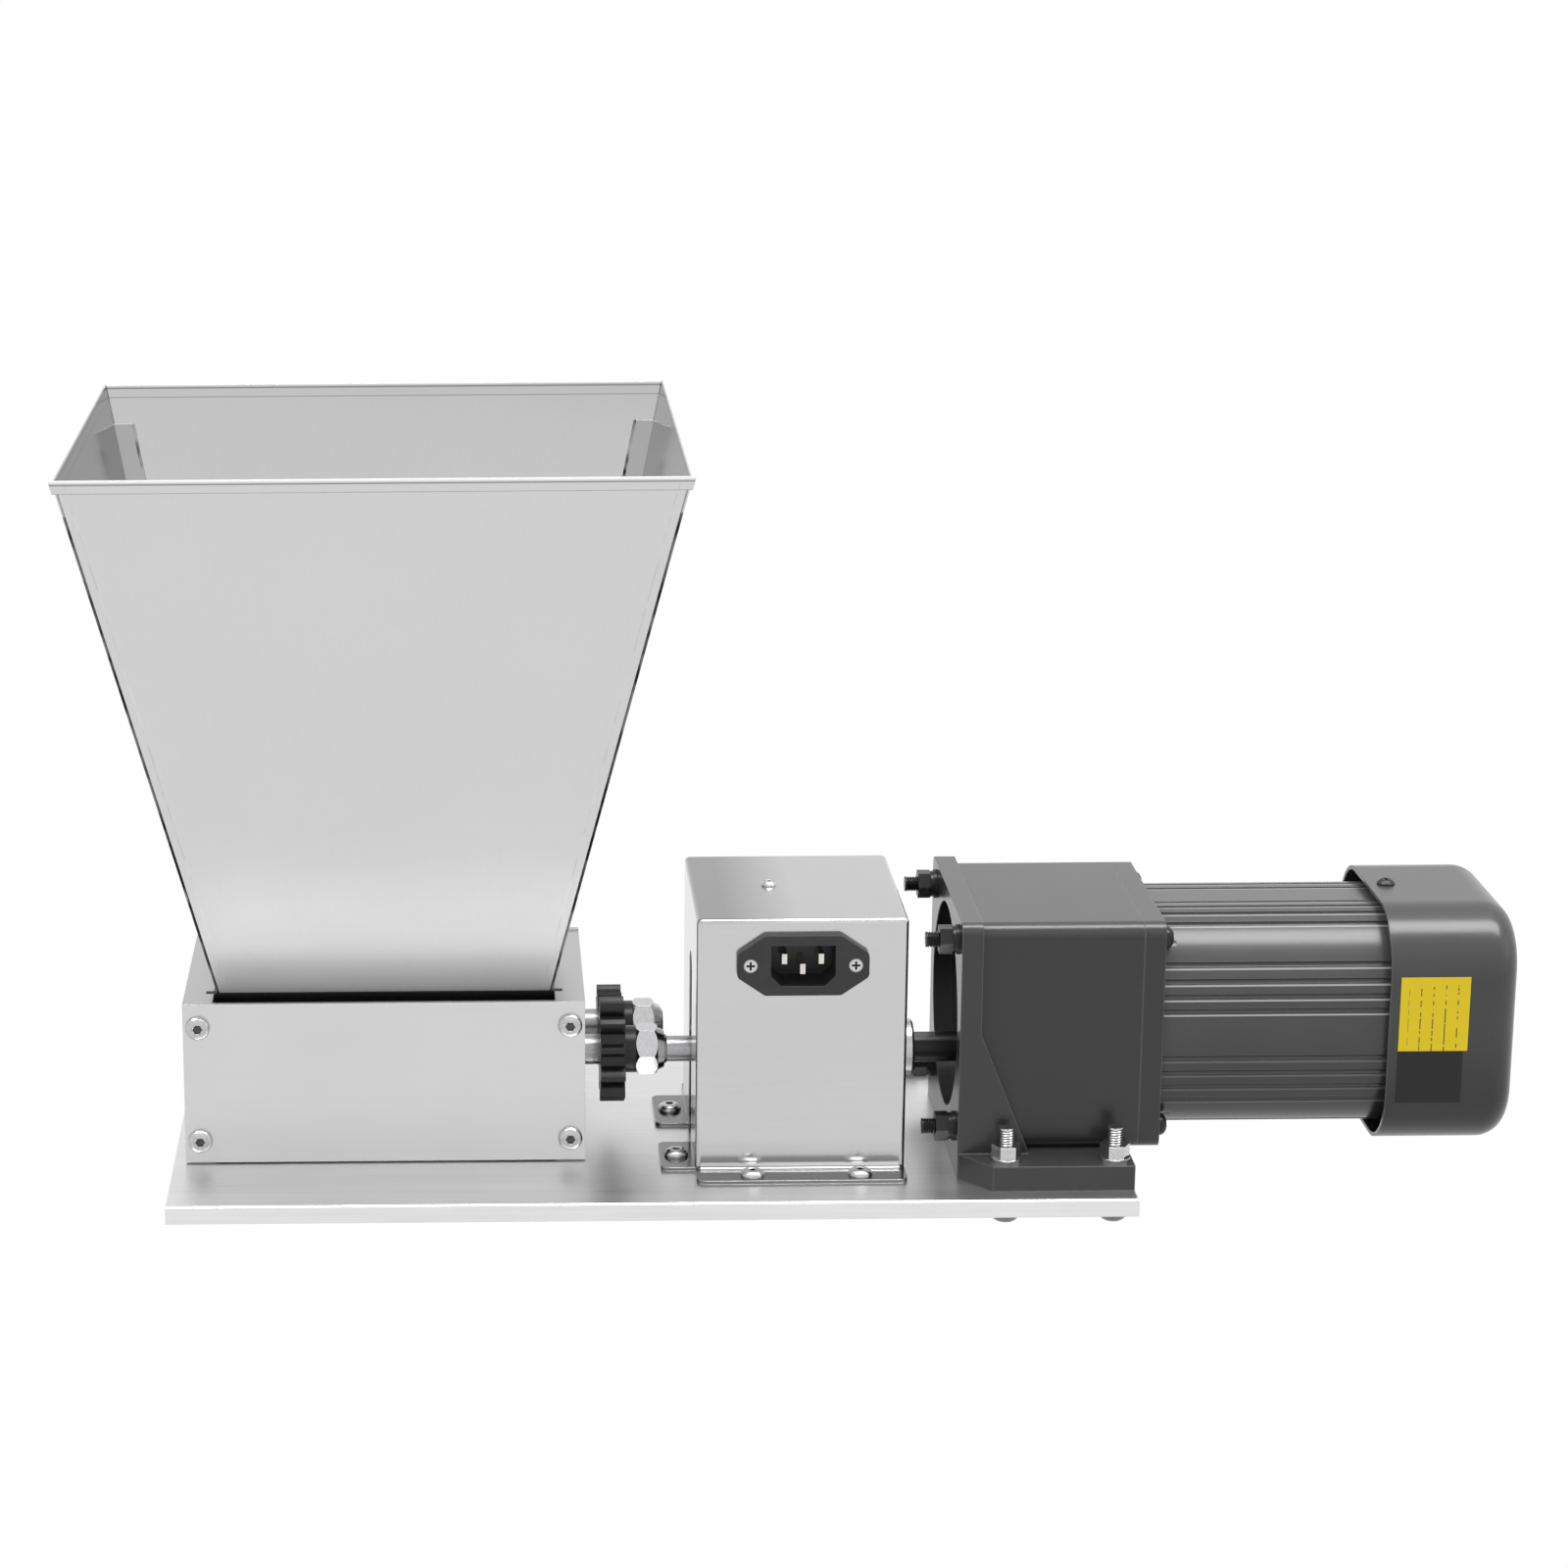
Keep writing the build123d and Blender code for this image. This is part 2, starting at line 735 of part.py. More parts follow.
def make_hopper():
    make_hopper_end("hopper_left_panel", -1)
    make_hopper_end("hopper_right_panel", 1)
    make_hopper_face("hopper_front_panel", -1)
    make_hopper_face("hopper_back_panel", 1)


# drive cover with what it carries

lead_entry_x = cover_left + 60.0
lead_entry_z = 16.0


def slotted(x0, x1, width, top):
    """The cut for a shaft slot that opens downwards and ends in a half round."""
    half = width / 2
    middle = top - half
    return block(x0, x1, drive_y - half, drive_y + half, -1, middle) + rod(x0, x1, drive_y, middle, half)


def make_cover_box():
    outer = block(cover_left, cover_right, cover_front, cover_back, 0, cover_height)
    bends = outer.edges().filter_by(Axis.Z) + outer.faces().sort_by(Axis.Z)[-1].edges()
    outer = fillet(bends, cover_bend)
    t = cover_sheet
    roof = cover_height - t
    box = outer - block(cover_left + t, cover_right - t, cover_front + t, cover_back - t, -1, roof)
    for side, wall in ((-1, cover_front), (1, cover_back)):
        edge = wall + side * cover_foot
        foot = Pos((cover_left + cover_right) / 2, (wall + edge) / 2) * RectangleRounded(
            cover_length, cover_foot, cover_foot_corner
        )
        root = block(cover_left, cover_right, min(wall, wall + side * 5), max(wall, wall + side * 5), 0, t)
        inner = wall - side * t
        neck = block(
            cover_left + cover_bend, cover_right - cover_bend, min(wall, inner), max(wall, inner), 0, t
        )
        box += prism_z(foot, 0, t) + root + neck
        curve = cover_crease
        middle = wall + side * curve
        low = min(wall, middle)
        crease = block(cover_left + cover_bend, cover_right - cover_bend, low, low + curve, t, t + curve)
        crease -= rod(cover_left, cover_right, middle, t + curve, curve)
        box += crease
    box -= slotted(cover_left - 1, cover_left + t + 1, shaft_slot_width, shaft_slot_top)
    coupling_slot_top = shaft_z + coupling_slot_width / 2
    box -= slotted(cover_right - t - 1, cover_right + 1, coupling_slot_width, coupling_slot_top)
    for start, end in tab_spans:
        tab = Pos(cover_left - tab_reach / 2 + 1, cover_front + (start + end) / 2) * RectangleRounded(
            tab_reach + 2 + 2, end - start, 3.0
        )
        box += prism_z(tab, 0, t)
    for x, y in cover_screw_places:
        box -= rod_z(x, y, -1, t + 1, (cover_screw_diameter + clearance) / 2)
    window = Pos(inlet_x, inlet_z) * Rectangle(
        socket_width + 2 * inlet_wall + clearance, socket_height + 2 * inlet_wall + clearance
    )
    box -= prism_y(window, cover_front - 1, cover_front + t + 1)
    inlet_hole = (inlet_screw_diameter + clearance) / 2
    for x in (inlet_x - inlet_screw_pitch / 2, inlet_x + inlet_screw_pitch / 2):
        box -= rod_y(x, cover_front - 1, cover_front + t + 1, inlet_z, inlet_hole)
    screw_hole = (cover_screw_diameter + clearance) / 2
    box -= rod_z(*capacitor_screw, roof - 1, cover_height + 1, screw_hole)
    box -= rod_y(lead_entry_x, cover_back - t - 1, cover_back + 1, lead_entry_z, lead_diameter / 2 + 1.5)
    keep("cover_box", box)


def make_cover_screws():
    reach = cover_sheet + plate_thickness - 1
    one = screw(cover_screw_diameter, reach, cover_screw_head, cover_screw_rise, cover_hex_socket)
    heads = [one.moved(facing(x, y, cover_sheet, "+Z")) for x, y in cover_screw_places]
    keep("cover_screws", *heads, one.moved(facing(*lead_clip_screw, lead_clip_thickness, "+Z")))


def make_inlet():
    half_width = inlet_width / 2
    half_height = inlet_height / 2
    corners = [
        (-half_width, -inlet_ear_half),
        (-inlet_top_half, -half_height),
        (inlet_top_half, -half_height),
        (half_width, -inlet_ear_half),
        (half_width, inlet_ear_half),
        (inlet_top_half, half_height),
        (-inlet_top_half, half_height),
        (-half_width, inlet_ear_half),
    ]
    rim = outline(corners)
    rim = fillet(rim.vertices(), 2.6)
    front = cover_front - inlet_flange
    body = prism_y(Pos(inlet_x, inlet_z) * rim, front, cover_front)
    shell = Rectangle(socket_width + 2 * inlet_wall, socket_height + 2 * inlet_wall)
    floor_y = front + socket_depth
    body += prism_y(Pos(inlet_x, inlet_z) * shell, cover_front, floor_y + inlet_floor)
    w = socket_width / 2
    h = socket_height / 2
    c = socket_chamfer
    mouth = outline([(-w, h), (-w, c - h), (c - w, -h), (w - c, -h), (w, c - h), (w, h)])
    body -= prism_y(Pos(inlet_x, inlet_z) * mouth, front - 1, floor_y)
    pins = []
    for dx, dz in ((-pin_pitch / 2, pin_rise), (pin_pitch / 2, pin_rise), (0, -pin_rise)):
        x = inlet_x + dx
        z = inlet_z + dz
        end = floor_y + inlet_floor + tail_length
        half = pin_width / 2
        pin = block(x - half, x + half, front + pin_recess, end, z - pin_height / 2, z + pin_height / 2)
        body -= pin
        pins.append(pin)
    screws = []
    nuts = []
    for x in (inlet_x - inlet_screw_pitch / 2, inlet_x + inlet_screw_pitch / 2):
        body -= rod_y(x, front - 1, cover_front + 1, inlet_z, inlet_screw_diameter / 2)
        body -= rod_y(x, front - 1, front + 1.2, inlet_z, inlet_screw_head / 2)
        head = rod_y(x, front + 0.1, front + 1.2, inlet_z, inlet_screw_head / 2)
        head -= prism_y(Pos(x, inlet_z) * Rectangle(3.2, 0.8), front, front + 0.8)
        head -= prism_y(Pos(x, inlet_z) * Rectangle(0.8, 3.2), front, front + 0.8)
        tip = cover_front + cover_sheet + 4.5
        screws.append(head + rod_y(x, front + 1.2, tip, inlet_z, inlet_screw_diameter / 2))
        nut_face = cover_front + cover_sheet
        nut = prism_y(Pos(x, inlet_z) * hexagon(5.5), nut_face, nut_face + 2.4)
        nuts.append(nut - rod_y(x, nut_face - 1, nut_face + 3, inlet_z, inlet_screw_diameter / 2))
    keep("mains_inlet_body", body)
    keep("mains_inlet_pins", *pins)
    keep("mains_inlet_screws", *screws)
    return nuts


def make_capacitor():
    x, y = capacitor_screw
    roof = cover_height - cover_sheet
    start = x + capacitor_tab / 2
    half = capacitor_depth / 2
    case = block(start, start + capacitor_length, y - half, y + half, roof - capacitor_height, roof)
    case = fillet(case.edges().filter_by(Axis.Z), 2.5)
    tab = block(x - capacitor_tab / 2, start + 1, y - 6, y + 6, roof - 3, roof)
    hole = rod_z(x, y, roof - 4, roof + 1, cover_screw_diameter / 2)
    keep("motor_capacitor", case + tab - hole)
    head = cross_head(cover_sheet + 9, capacitor_screw_head, 1.9)
    nut = prism_z(Pos(x, y) * hexagon(7.0), roof - 6.2, roof - 3)
    nut -= rod_z(x, y, roof - 7, roof, cover_screw_diameter / 2)
    return head.moved(facing(x, y, cover_height, "+Z")), nut


def make_cover():
    make_cover_box()
    make_cover_screws()
    inlet_nuts = make_inlet()
    capacitor_head, capacitor_nut = make_capacitor()
    keep("cover_inner_nuts", *inlet_nuts, capacitor_nut)
    keep("pan_head_screws", capacitor_head, *fan_cover_screws())


# coupling between the drive roller and the gearbox

output_end = case_start - 32.0


def make_coupling():
    middle = coupling_start + coupling_length / 2
    end = coupling_start + coupling_length
    sleeve = rod(coupling_start, end, drive_y, output_z, coupling_diameter / 2)
    sleeve = chamfer(sleeve.edges().filter_by(GeomType.CIRCLE), 0.8)
    sleeve -= rod(coupling_start - 1, middle, drive_y, output_z, input_diameter / 2)
    sleeve -= rod(middle, end + 1, drive_y, output_z, output_diameter / 2)
    screws = []
    for x, bore in ((coupling_start + 9, input_diameter), (end - 7, output_diameter)):
        for turn in (0, 90):
            reach = coupling_diameter / 2
            hole = rod_z(0, 0, bore / 2 - 0.5, reach + 1, set_screw_diameter / 2)
            grub = rod_z(0, 0, bore / 2, reach - 0.6, set_screw_diameter / 2)
            grub -= prism_z(hexagon(2.5), reach - 3, reach)
            place = Location((x, drive_y, output_z), (turn, 0, 0))
            sleeve -= hole.moved(place)
            screws.append(grub.moved(place))
    keep("shaft_coupling", sleeve)
    keep("coupling_set_screws", *screws)


# bracket


def make_bracket():
    half = bracket_half_width
    top = motor_z + frame_size / 2 + bracket_rise
    wall = Pos(drive_y, top / 2) * Rectangle(2 * half, top)
    wall = fillet(wall.vertices().sort_by(Axis.Y)[-2:], bracket_corner)
    bracket = prism_x(wall, bracket_face, case_start)
    back = bracket_face + bracket_foot_length
    dx, dy = bracket_foot_chamfer
    foot = outline(
        [
            (bracket_face + dx, foot_front),
            (back, foot_front),
            (back, foot_back),
            (bracket_face + dx, foot_back),
            (bracket_face, foot_back - dy),
            (bracket_face, foot_front + dy),
        ]
    )
    bracket += prism_z(foot, 0, bracket_foot_height)
    rib = outline(
        [
            (case_start - 1, bracket_foot_height - 1),
            (case_start + gusset_length, bracket_foot_height - 1),
            (case_start + gusset_length, bracket_foot_height + 1),
            (case_start, gusset_top),
            (case_start - 1, gusset_top),
        ]
    )
    bracket += prism_y(rib, drive_y - half, drive_y - half + gusset_thickness)
    bracket += prism_y(rib, drive_y + half - gusset_thickness, drive_y + half)
    bracket -= rod(bracket_face - 1, case_start + 1, drive_y, motor_z, bracket_hole / 2)
    for y, z in frame_bolt_places:
        bracket -= rod(bracket_face - 1, case_start + 1, y, z, (frame_bolt_diameter + clearance) / 2)
    for x, y in bracket_bolt_places:
        bracket -= rod_z(x, y, -1, bracket_foot_height + 1, (foot_bolt_diameter + clearance) / 2)
    keep("motor_bracket", bracket)
    bolts = []
    nuts = []
    washers = []
    seat = bracket_foot_height
    for x, y in bracket_bolt_places:
        bolt = foot_bolt(foot_bolt_top + plate_thickness)
        bolts.append(bolt.moved(facing(x, y, -plate_thickness, "-Z")))
        ring = rod_z(x, y, seat, seat + washer_thickness, washer_diameter / 2)
        washers.append(ring - rod_z(x, y, seat - 1, seat + 3, foot_bolt_diameter / 2))
        low = seat + washer_thickness
        nut = prism_z(Pos(x, y) * hexagon(foot_nut_flats), low, low + foot_nut_height)
        nuts.append(nut - rod_z(x, y, low - 1, low + foot_nut_height + 1, foot_bolt_diameter / 2))
    keep("bracket_bolts", *bolts)
    keep("bracket_washers", *washers)
    keep("bracket_nuts", *nuts)


# gearbox

frame_bolt_places = [
    (drive_y + way_y * frame_bolt_pitch / 2, motor_z + way_z * frame_bolt_pitch / 2)
    for way_y in (-1, 1)
    for way_z in (-1, 1)
]
first_distance = train_module * (first_pinion_teeth + first_wheel_teeth) / 2
second_distance = train_module * (second_pinion_teeth + second_wheel_teeth) / 2
layshaft_drop = (first_distance**2 - second_distance**2 + output_drop**2) / (2 * output_drop)
layshaft_y = drive_y + math.sqrt(first_distance**2 - layshaft_drop**2)
layshaft_z = motor_z - layshaft_drop
cavity_start = case_start + case_front
inner_plate_x = cavity_start + inner_plate_start
second_stage_x = cavity_start + 4.0
first_stage_x = inner_plate_x - wheel_width - 3.0


def frame_square(size, corner):
    return Pos(drive_y, motor_z) * RectangleRounded(size, size, corner)


def cavity_face(spare):
    """The case's inside: a square that leaves a post round each long bolt."""
    face = frame_square(frame_size - 2 * case_wall - 2 * spare, 4.0)
    for y, z in frame_bolt_places:
        face -= Pos(y, z) * Circle(case_post + spare)
    return face


def bolt_holes(x0, x1):
    radius = (frame_bolt_diameter + clearance) / 2
    return [rod(x0 - 1, x1 + 1, y, z, radius) for y, z in frame_bolt_places]


def make_gearbox_case():
    case = prism_x(frame_square(frame_size, frame_corner), case_start, case_end)
    case -= prism_x(cavity_face(0), cavity_start, case_end + 1)
    pocket = case_start + 2.0
    case -= rod(case_start - 1, cavity_start + 1, drive_y, output_z, output_diameter / 2 + 1.0)
    case -= rod(pocket, cavity_start + 1, drive_y, output_z, ball_bearing_od / 2)
    lay_pocket = cavity_start - small_bearing_width
    case -= rod(lay_pocket, cavity_start + 1, layshaft_y, layshaft_z, small_bearing_od / 2)
    for hole in bolt_holes(case_start, case_end):
        case -= hole
    keep("gearbox_case", case)
    plate = prism_x(cavity_face(0.15), inner_plate_x, inner_plate_x + inner_plate_thickness)
    plate -= rod(inner_plate_x - 1, case_end, drive_y, motor_z, 9.0)
    for y, z in ((drive_y, output_z), (layshaft_y, layshaft_z)):
        plate -= rod(inner_plate_x - 1, case_end, y, z, small_bearing_od / 2)
    keep("gearbox_inner_plate", plate)
    small_bore = small_journal + 2 * running_gap
    output_bore = output_diameter + 2 * running_gap
    output_seat = cavity_start - bearing_width
    bearings = [
        bearing(output_seat, bearing_width, drive_y, output_z, ball_bearing_od, output_bore),
        bearing(inner_plate_x, small_bearing_width, drive_y, output_z, small_bearing_od, small_bore),
        bearing(lay_pocket, small_bearing_width, layshaft_y, layshaft_z, small_bearing_od, small_bore),
        bearing(inner_plate_x, small_bearing_width, layshaft_y, layshaft_z, small_bearing_od, small_bore),
    ]
    keep("gearbox_bearings", *bearings)


def train_gear(teeth, y, z, x0, x1, turn, bore):
    face = gear_face(teeth, train_module, train_addendum, train_dedendum, train_backlash, 20, 2)
    face = Pos(y, z) * (Rot(0, 0, turn) * face)
    gear = prism_x(face, x0, x1)
    if bore:
        gear -= rod(x0 - 1, x1 + 1, y, z, bore / 2)
    return gear


def make_gear_train():
    """Each pair is in mesh at rest: a tooth of one points at the other's shaft, into a gap."""
    to_layshaft = math.degrees(math.atan2(layshaft_z - motor_z, layshaft_y - drive_y))
    to_output = math.degrees(math.atan2(output_z - layshaft_z, drive_y - layshaft_y))
    wheel_gap = to_layshaft + 180 + 180 / first_wheel_teeth
    output_gap = to_output + 180 + 180 / second_wheel_teeth
    overhang = pinion_overhang
    shaft_ends_x = inner_plate_x + small_bearing_width
    step = inner_plate_x - output_step
    output = rod(output_end, step, drive_y, output_z, output_diameter / 2)
    output += rod(step - 1, shaft_ends_x, drive_y, output_z, small_journal / 2)
    flat_z = output_z + output_diameter / 2 - output_flat_depth
    half = output_diameter
    flat_end = output_end + output_flat_length
    output -= block(output_end - 1, flat_end, drive_y - half, drive_y + half, flat_z, output_z + half)
    keep("output_shaft", output)
    wheel_end = second_stage_x + wheel_width
    second_wheel = train_gear(
        second_wheel_teeth, drive_y, output_z, second_stage_x, wheel_end, output_gap, output_diameter
    )
    keep("output_wheel", second_wheel)
    lay_start = cavity_start - small_bearing_width
    lay = rod(lay_start, shaft_ends_x, layshaft_y, layshaft_z, layshaft_diameter / 2)
    pinion_start = second_stage_x - overhang
    pinion_end = second_stage_x + wheel_width + overhang
    lay += train_gear(second_pinion_teeth, layshaft_y, layshaft_z, pinion_start, pinion_end, to_output, 0)
    keep("layshaft", lay)
    wheel = train_gear(
        first_wheel_teeth,
        layshaft_y,
        layshaft_z,
        first_stage_x,
        first_stage_x + wheel_width,
        wheel_gap,
        layshaft_diameter,
    )
    keep("layshaft_wheel", wheel)
    rotor_end = motor_end + rotor_overhang
    core_end = stator_start + stator_length
    core_diameter = stator_inner - 2 * rotor_gap
    shaft = rod(first_stage_x + wheel_width + overhang + 1, rotor_end, drive_y, motor_z, small_journal / 2)
    shaft += rod(motor_start - 2, rotor_end - 20, drive_y, motor_z, rotor_shaft_diameter / 2)
    shaft += train_gear(
        first_pinion_teeth,
        drive_y,
        motor_z,
        first_stage_x - overhang,
        first_stage_x + wheel_width + overhang + 1.5,
        to_layshaft,
        0,
    )
    keep("rotor_shaft", shaft)
    core = ring_x(stator_start, core_end, drive_y, motor_z, core_diameter, rotor_shaft_diameter)
    for x in (stator_start - rotor_ring_length, core_end):
        outer = stator_inner - 6
        core += ring_x(x, x + rotor_ring_length, drive_y, motor_z, outer, outer - 2 * rotor_ring_width)
    keep("rotor_core", core)


def make_gearbox_fasteners():
    bolts = []
    nuts = []
    washers = []
    thick = washer_thickness
    for y, z in frame_bolt_places:
        bolt = rod(frame_bolt_end, motor_start, y, z, frame_bolt_diameter / 2)
        head = domed_head(frame_head_diameter, frame_head_height, frame_hex_socket)
        bolts.append(bolt + head.moved(Location((motor_start, y, z), (0, 90, 0))))
        split = bracket_face - 2 * thick
        plain = bracket_face - thick
        for x, outer in ((plain, frame_washer_diameter), (split, split_washer_diameter)):
            washers.append(ring_x(x, x + thick, y, z, outer, frame_bolt_diameter))
        nut = prism_x(Pos(y, z) * hexagon(frame_nut_flats), split - frame_nut_height, split)
        nuts.append(nut - rod(split - frame_nut_height - 1, split + 1, y, z, frame_bolt_diameter / 2))
    keep("gearbox_bolts", *bolts)
    keep("gearbox_nuts", *nuts)
    keep("gearbox_washers", *washers)


def make_gearbox():
    make_gearbox_case()
    make_gear_train()
    make_gearbox_fasteners()


# motor

bearing_bore = rotor_shaft_diameter + 2 * running_gap
fan_screw_x = fan_cover_start + fan_cover_screw_inset


def make_motor_flange():
    flange = prism_x(frame_square(frame_size, frame_corner), case_end, motor_start)
    spigot_end = motor_start + spigot_length
    flange += rod(motor_start, spigot_end, drive_y, motor_z, motor_bore / 2)
    flange -= rod(case_end - 1, spigot_end + 1, drive_y, motor_z, rotor_shaft_diameter / 2 + 1.5)
    flange -= rod(spigot_end - bearing_width, spigot_end + 1, drive_y, motor_z, motor_bearing_od / 2)
    for hole in bolt_holes(case_end, motor_start):
        flange -= hole
    keep("motor_flange", flange)


def groove_places():
    """Points on the rounded square, a few each side of the middle of every face."""
    straight = motor_half - motor_corner
    places = []
    for offset_along in groove_offsets:
        if offset_along <= straight:
            point = (offset_along, motor_half)
        else:
            angle = math.asin((offset_along - straight) / motor_corner)
            point = (straight + motor_corner * math.sin(angle), straight + motor_corner * math.cos(angle))
        places += [point, (-point[0], point[1])]
    return places


def make_motor_housing():
    body = RectangleRounded(2 * motor_half, 2 * motor_half, motor_corner)
    grooves = Sketch()
    for quarter in range(4):
        for u, v in groove_places():
            grooves += Rot(0, 0, 90 * quarter) * (Pos(u, v) * Circle(groove_radius))
    body -= grooves
    body -= Circle(motor_bore / 2)
    housing = prism_x(Pos(drive_y, motor_z) * body, motor_start, motor_end)
    for y, z in frame_bolt_places:
        relief = frame_head_diameter / 2 + clearance
        housing -= rod(motor_start - 1, motor_start + frame_head_height + 2, y, z, relief)
    housing -= rod_y(lead_exit_x, drive_y, drive_y + motor_half + 5, lead_exit_z, lead_diameter / 2 + 0.2)
    keep("motor_housing", housing)


def make_motor_inside():
    core_end = stator_start + stator_length
    keep("stator_core", ring_x(stator_start, core_end, drive_y, motor_z, motor_bore, stator_inner))
    windings = []
    for x in (stator_start - winding_length, core_end):
        coil = ring_x(x, x + winding_length, drive_y, motor_z, motor_bore - 8, stator_inner + 4)
        windings.append(fillet(coil.edges().filter_by(GeomType.CIRCLE), 3.0))
    keep("stator_windings", *windings)
    start = motor_end - rear_shield_thickness
    bearings = []
    for x in (motor_start + spigot_length - bearing_width, start):
        bearings.append(bearing(x, bearing_width, drive_y, motor_z, motor_bearing_od, bearing_bore))
    keep("motor_bearings", *bearings)
    shield = rod(start, motor_end, drive_y, motor_z, motor_bore / 2)
    reach = fan_cover_half - fan_cover_wall
    half = shield_lug_width / 2
    lug_end = motor_end + shield_lug_length
    for way in (-1, 1):
        z0 = motor_z + way * shield_lug_inner
        z1 = motor_z + way * reach
        shield += block(motor_end, lug_end, drive_y - half, drive_y + half, min(z0, z1), max(z0, z1))
        tip = motor_z + way * (reach - fan_screw_reach)
        low = min(tip, z1 + way)
        shield -= rod_z(fan_screw_x, drive_y, low, max(tip, z1 + way), cover_screw_diameter / 2)
    shield -= rod(start - 1, lug_end + 1, drive_y, motor_z, motor_bearing_od / 2)
    cap_end = motor_end + shield_cap_thickness
    shield += ring_x(motor_end, cap_end, drive_y, motor_z, motor_bearing_od + 6, motor_bearing_od - 6)
    keep("motor_rear_shield", shield)


def make_fan():
    start = motor_end + fan_offset
    half = fan_blade_thickness / 2
    fan = rod(start, start + fan_disc_thickness, drive_y, motor_z, fan_diameter / 2 - 4)
    fan += rod(start, start + fan_hub_length, drive_y, motor_z, fan_hub_radius)
    for blade in range(fan_blades):
        vane = block(start + 1, start + fan_width, -half, half, fan_hub_radius - 1, fan_diameter / 2)
        fan += vane.moved(Location((0, drive_y, motor_z), (360 * blade / fan_blades, 0, 0)))
    fan -= rod(start - 1, start + fan_width + 1, drive_y, motor_z, small_journal / 2)
    keep("cooling_fan", fan)


def cross_head(reach, head_diameter, head_rise):
    """A pan-head screw with a cross recess."""
    head = screw(cover_screw_diameter, reach, head_diameter, head_rise)
    for along, across in ((cross_length, cross_width), (cross_width, cross_length)):
        head -= block(-along / 2, along / 2, -across / 2, across / 2, 0.55 * head_rise, head_rise + 1)
    return head


def fan_cover_screws():
    """One screw into the rear shield's lug from above and one from below."""
    one = cross_head(fan_cover_wall + fan_screw_reach - 1, fan_screw_head, fan_screw_rise)
    places = ((fan_cover_half, "+Z"), (-fan_cover_half, "-Z"))
    return [one.moved(facing(fan_screw_x, drive_y, motor_z + dz, way)) for dz, way in places]


def make_fan_cover():
    half = fan_cover_half
    wall = fan_cover_wall
    outer = prism_x(frame_square(2 * half, fan_cover_corner), fan_cover_start, fan_cover_end)
    outer = fillet(outer.faces().sort_by(Axis.X)[-1].edges(), fan_cover_round)
    inner_face = frame_square(2 * half - 2 * wall, fan_cover_corner - wall)
    inner = prism_x(inner_face, fan_cover_start - 5, fan_cover_end - wall)
    inner = fillet(inner.faces().sort_by(Axis.X)[-1].edges(), fan_cover_round - wall)
    cover = outer - inner
    for vent in range(vent_count):
        slot = Pos((vent_inner + vent_outer) / 2, 0) * SlotOverall(vent_outer - vent_inner, vent_width)
        place = Pos(drive_y, motor_z) * (Rot(0, 0, 360 * vent / vent_count) * slot)
        cover -= prism_x(place, fan_cover_end - 2 * wall, fan_cover_end + 1)
    for way in (-1, 1):
        edges = (motor_z + way * (half - wall - 1), motor_z + way * (half + 1))
        cover -= rod_z(fan_screw_x, drive_y, min(edges), max(edges), (cover_screw_diameter + clearance) / 2)
    keep("fan_cover", cover)


def make_labels():
    flat_top = motor_z + fan_cover_half - fan_cover_corner
    x0 = fan_cover_start + label_start
    length, height = rating_label
    y0 = fan_cover_front - label_thickness
    rating = block(x0, x0 + length, y0, fan_cover_front, flat_top - height, flat_top)
    length, plain_height = plain_label
    top = flat_top - height - label_gap
    bottom = max(top - plain_height, motor_z - fan_cover_half + fan_cover_corner)
    keep("motor_labels", rating, block(x0, x0 + length, y0, fan_cover_front, bottom, top))


# motor lead: out of the housing's back, down behind the bracket, along the plate and into the cover

lead_exit_x = motor_start + 8.0
lead_exit_z = motor_z - 12.0
lead_lane = foot_back + 14.0
lead_low = lead_diameter / 2
lead_route = [
    (lead_exit_x, drive_y + motor_half - 3.0, lead_exit_z),
    (lead_exit_x, lead_lane - 2.0, lead_exit_z),
    (lead_exit_x - 22.0, lead_lane + 4.0, lead_exit_z - 32.0),
    (lead_exit_x - 62.0, lead_lane + 5.0, lead_low + 1.0),
    (lead_exit_x - 104.0, lead_lane - 2.0, lead_low),
    (lead_entry_x + 12.0, lead_lane - 3.0, lead_low + 6.0),
    (lead_entry_x, cover_back + 5.0, lead_entry_z),
    (lead_entry_x, cover_back - cover_sheet - 12.0, lead_entry_z),
]
lead_clip_x = (lead_route[3][0] + lead_route[4][0]) / 2
lead_clip_y = (lead_route[3][1] + lead_route[4][1]) / 2
lead_clip_screw = (lead_clip_x, lead_clip_y + lead_diameter / 2 + 8.0)


def bend_radii(points):
    """The largest arc each corner's two runs allow."""
    radii = []
    for before, here, after in zip(points, points[1:], points[2:]):
        into = Vector(*here) - Vector(*before)
        out = Vector(*after) - Vector(*here)
        turn = math.radians(into.get_angle(out))
        radii.append(0.45 * min(into.length, out.length) / math.tan(turn / 2))
    return radii


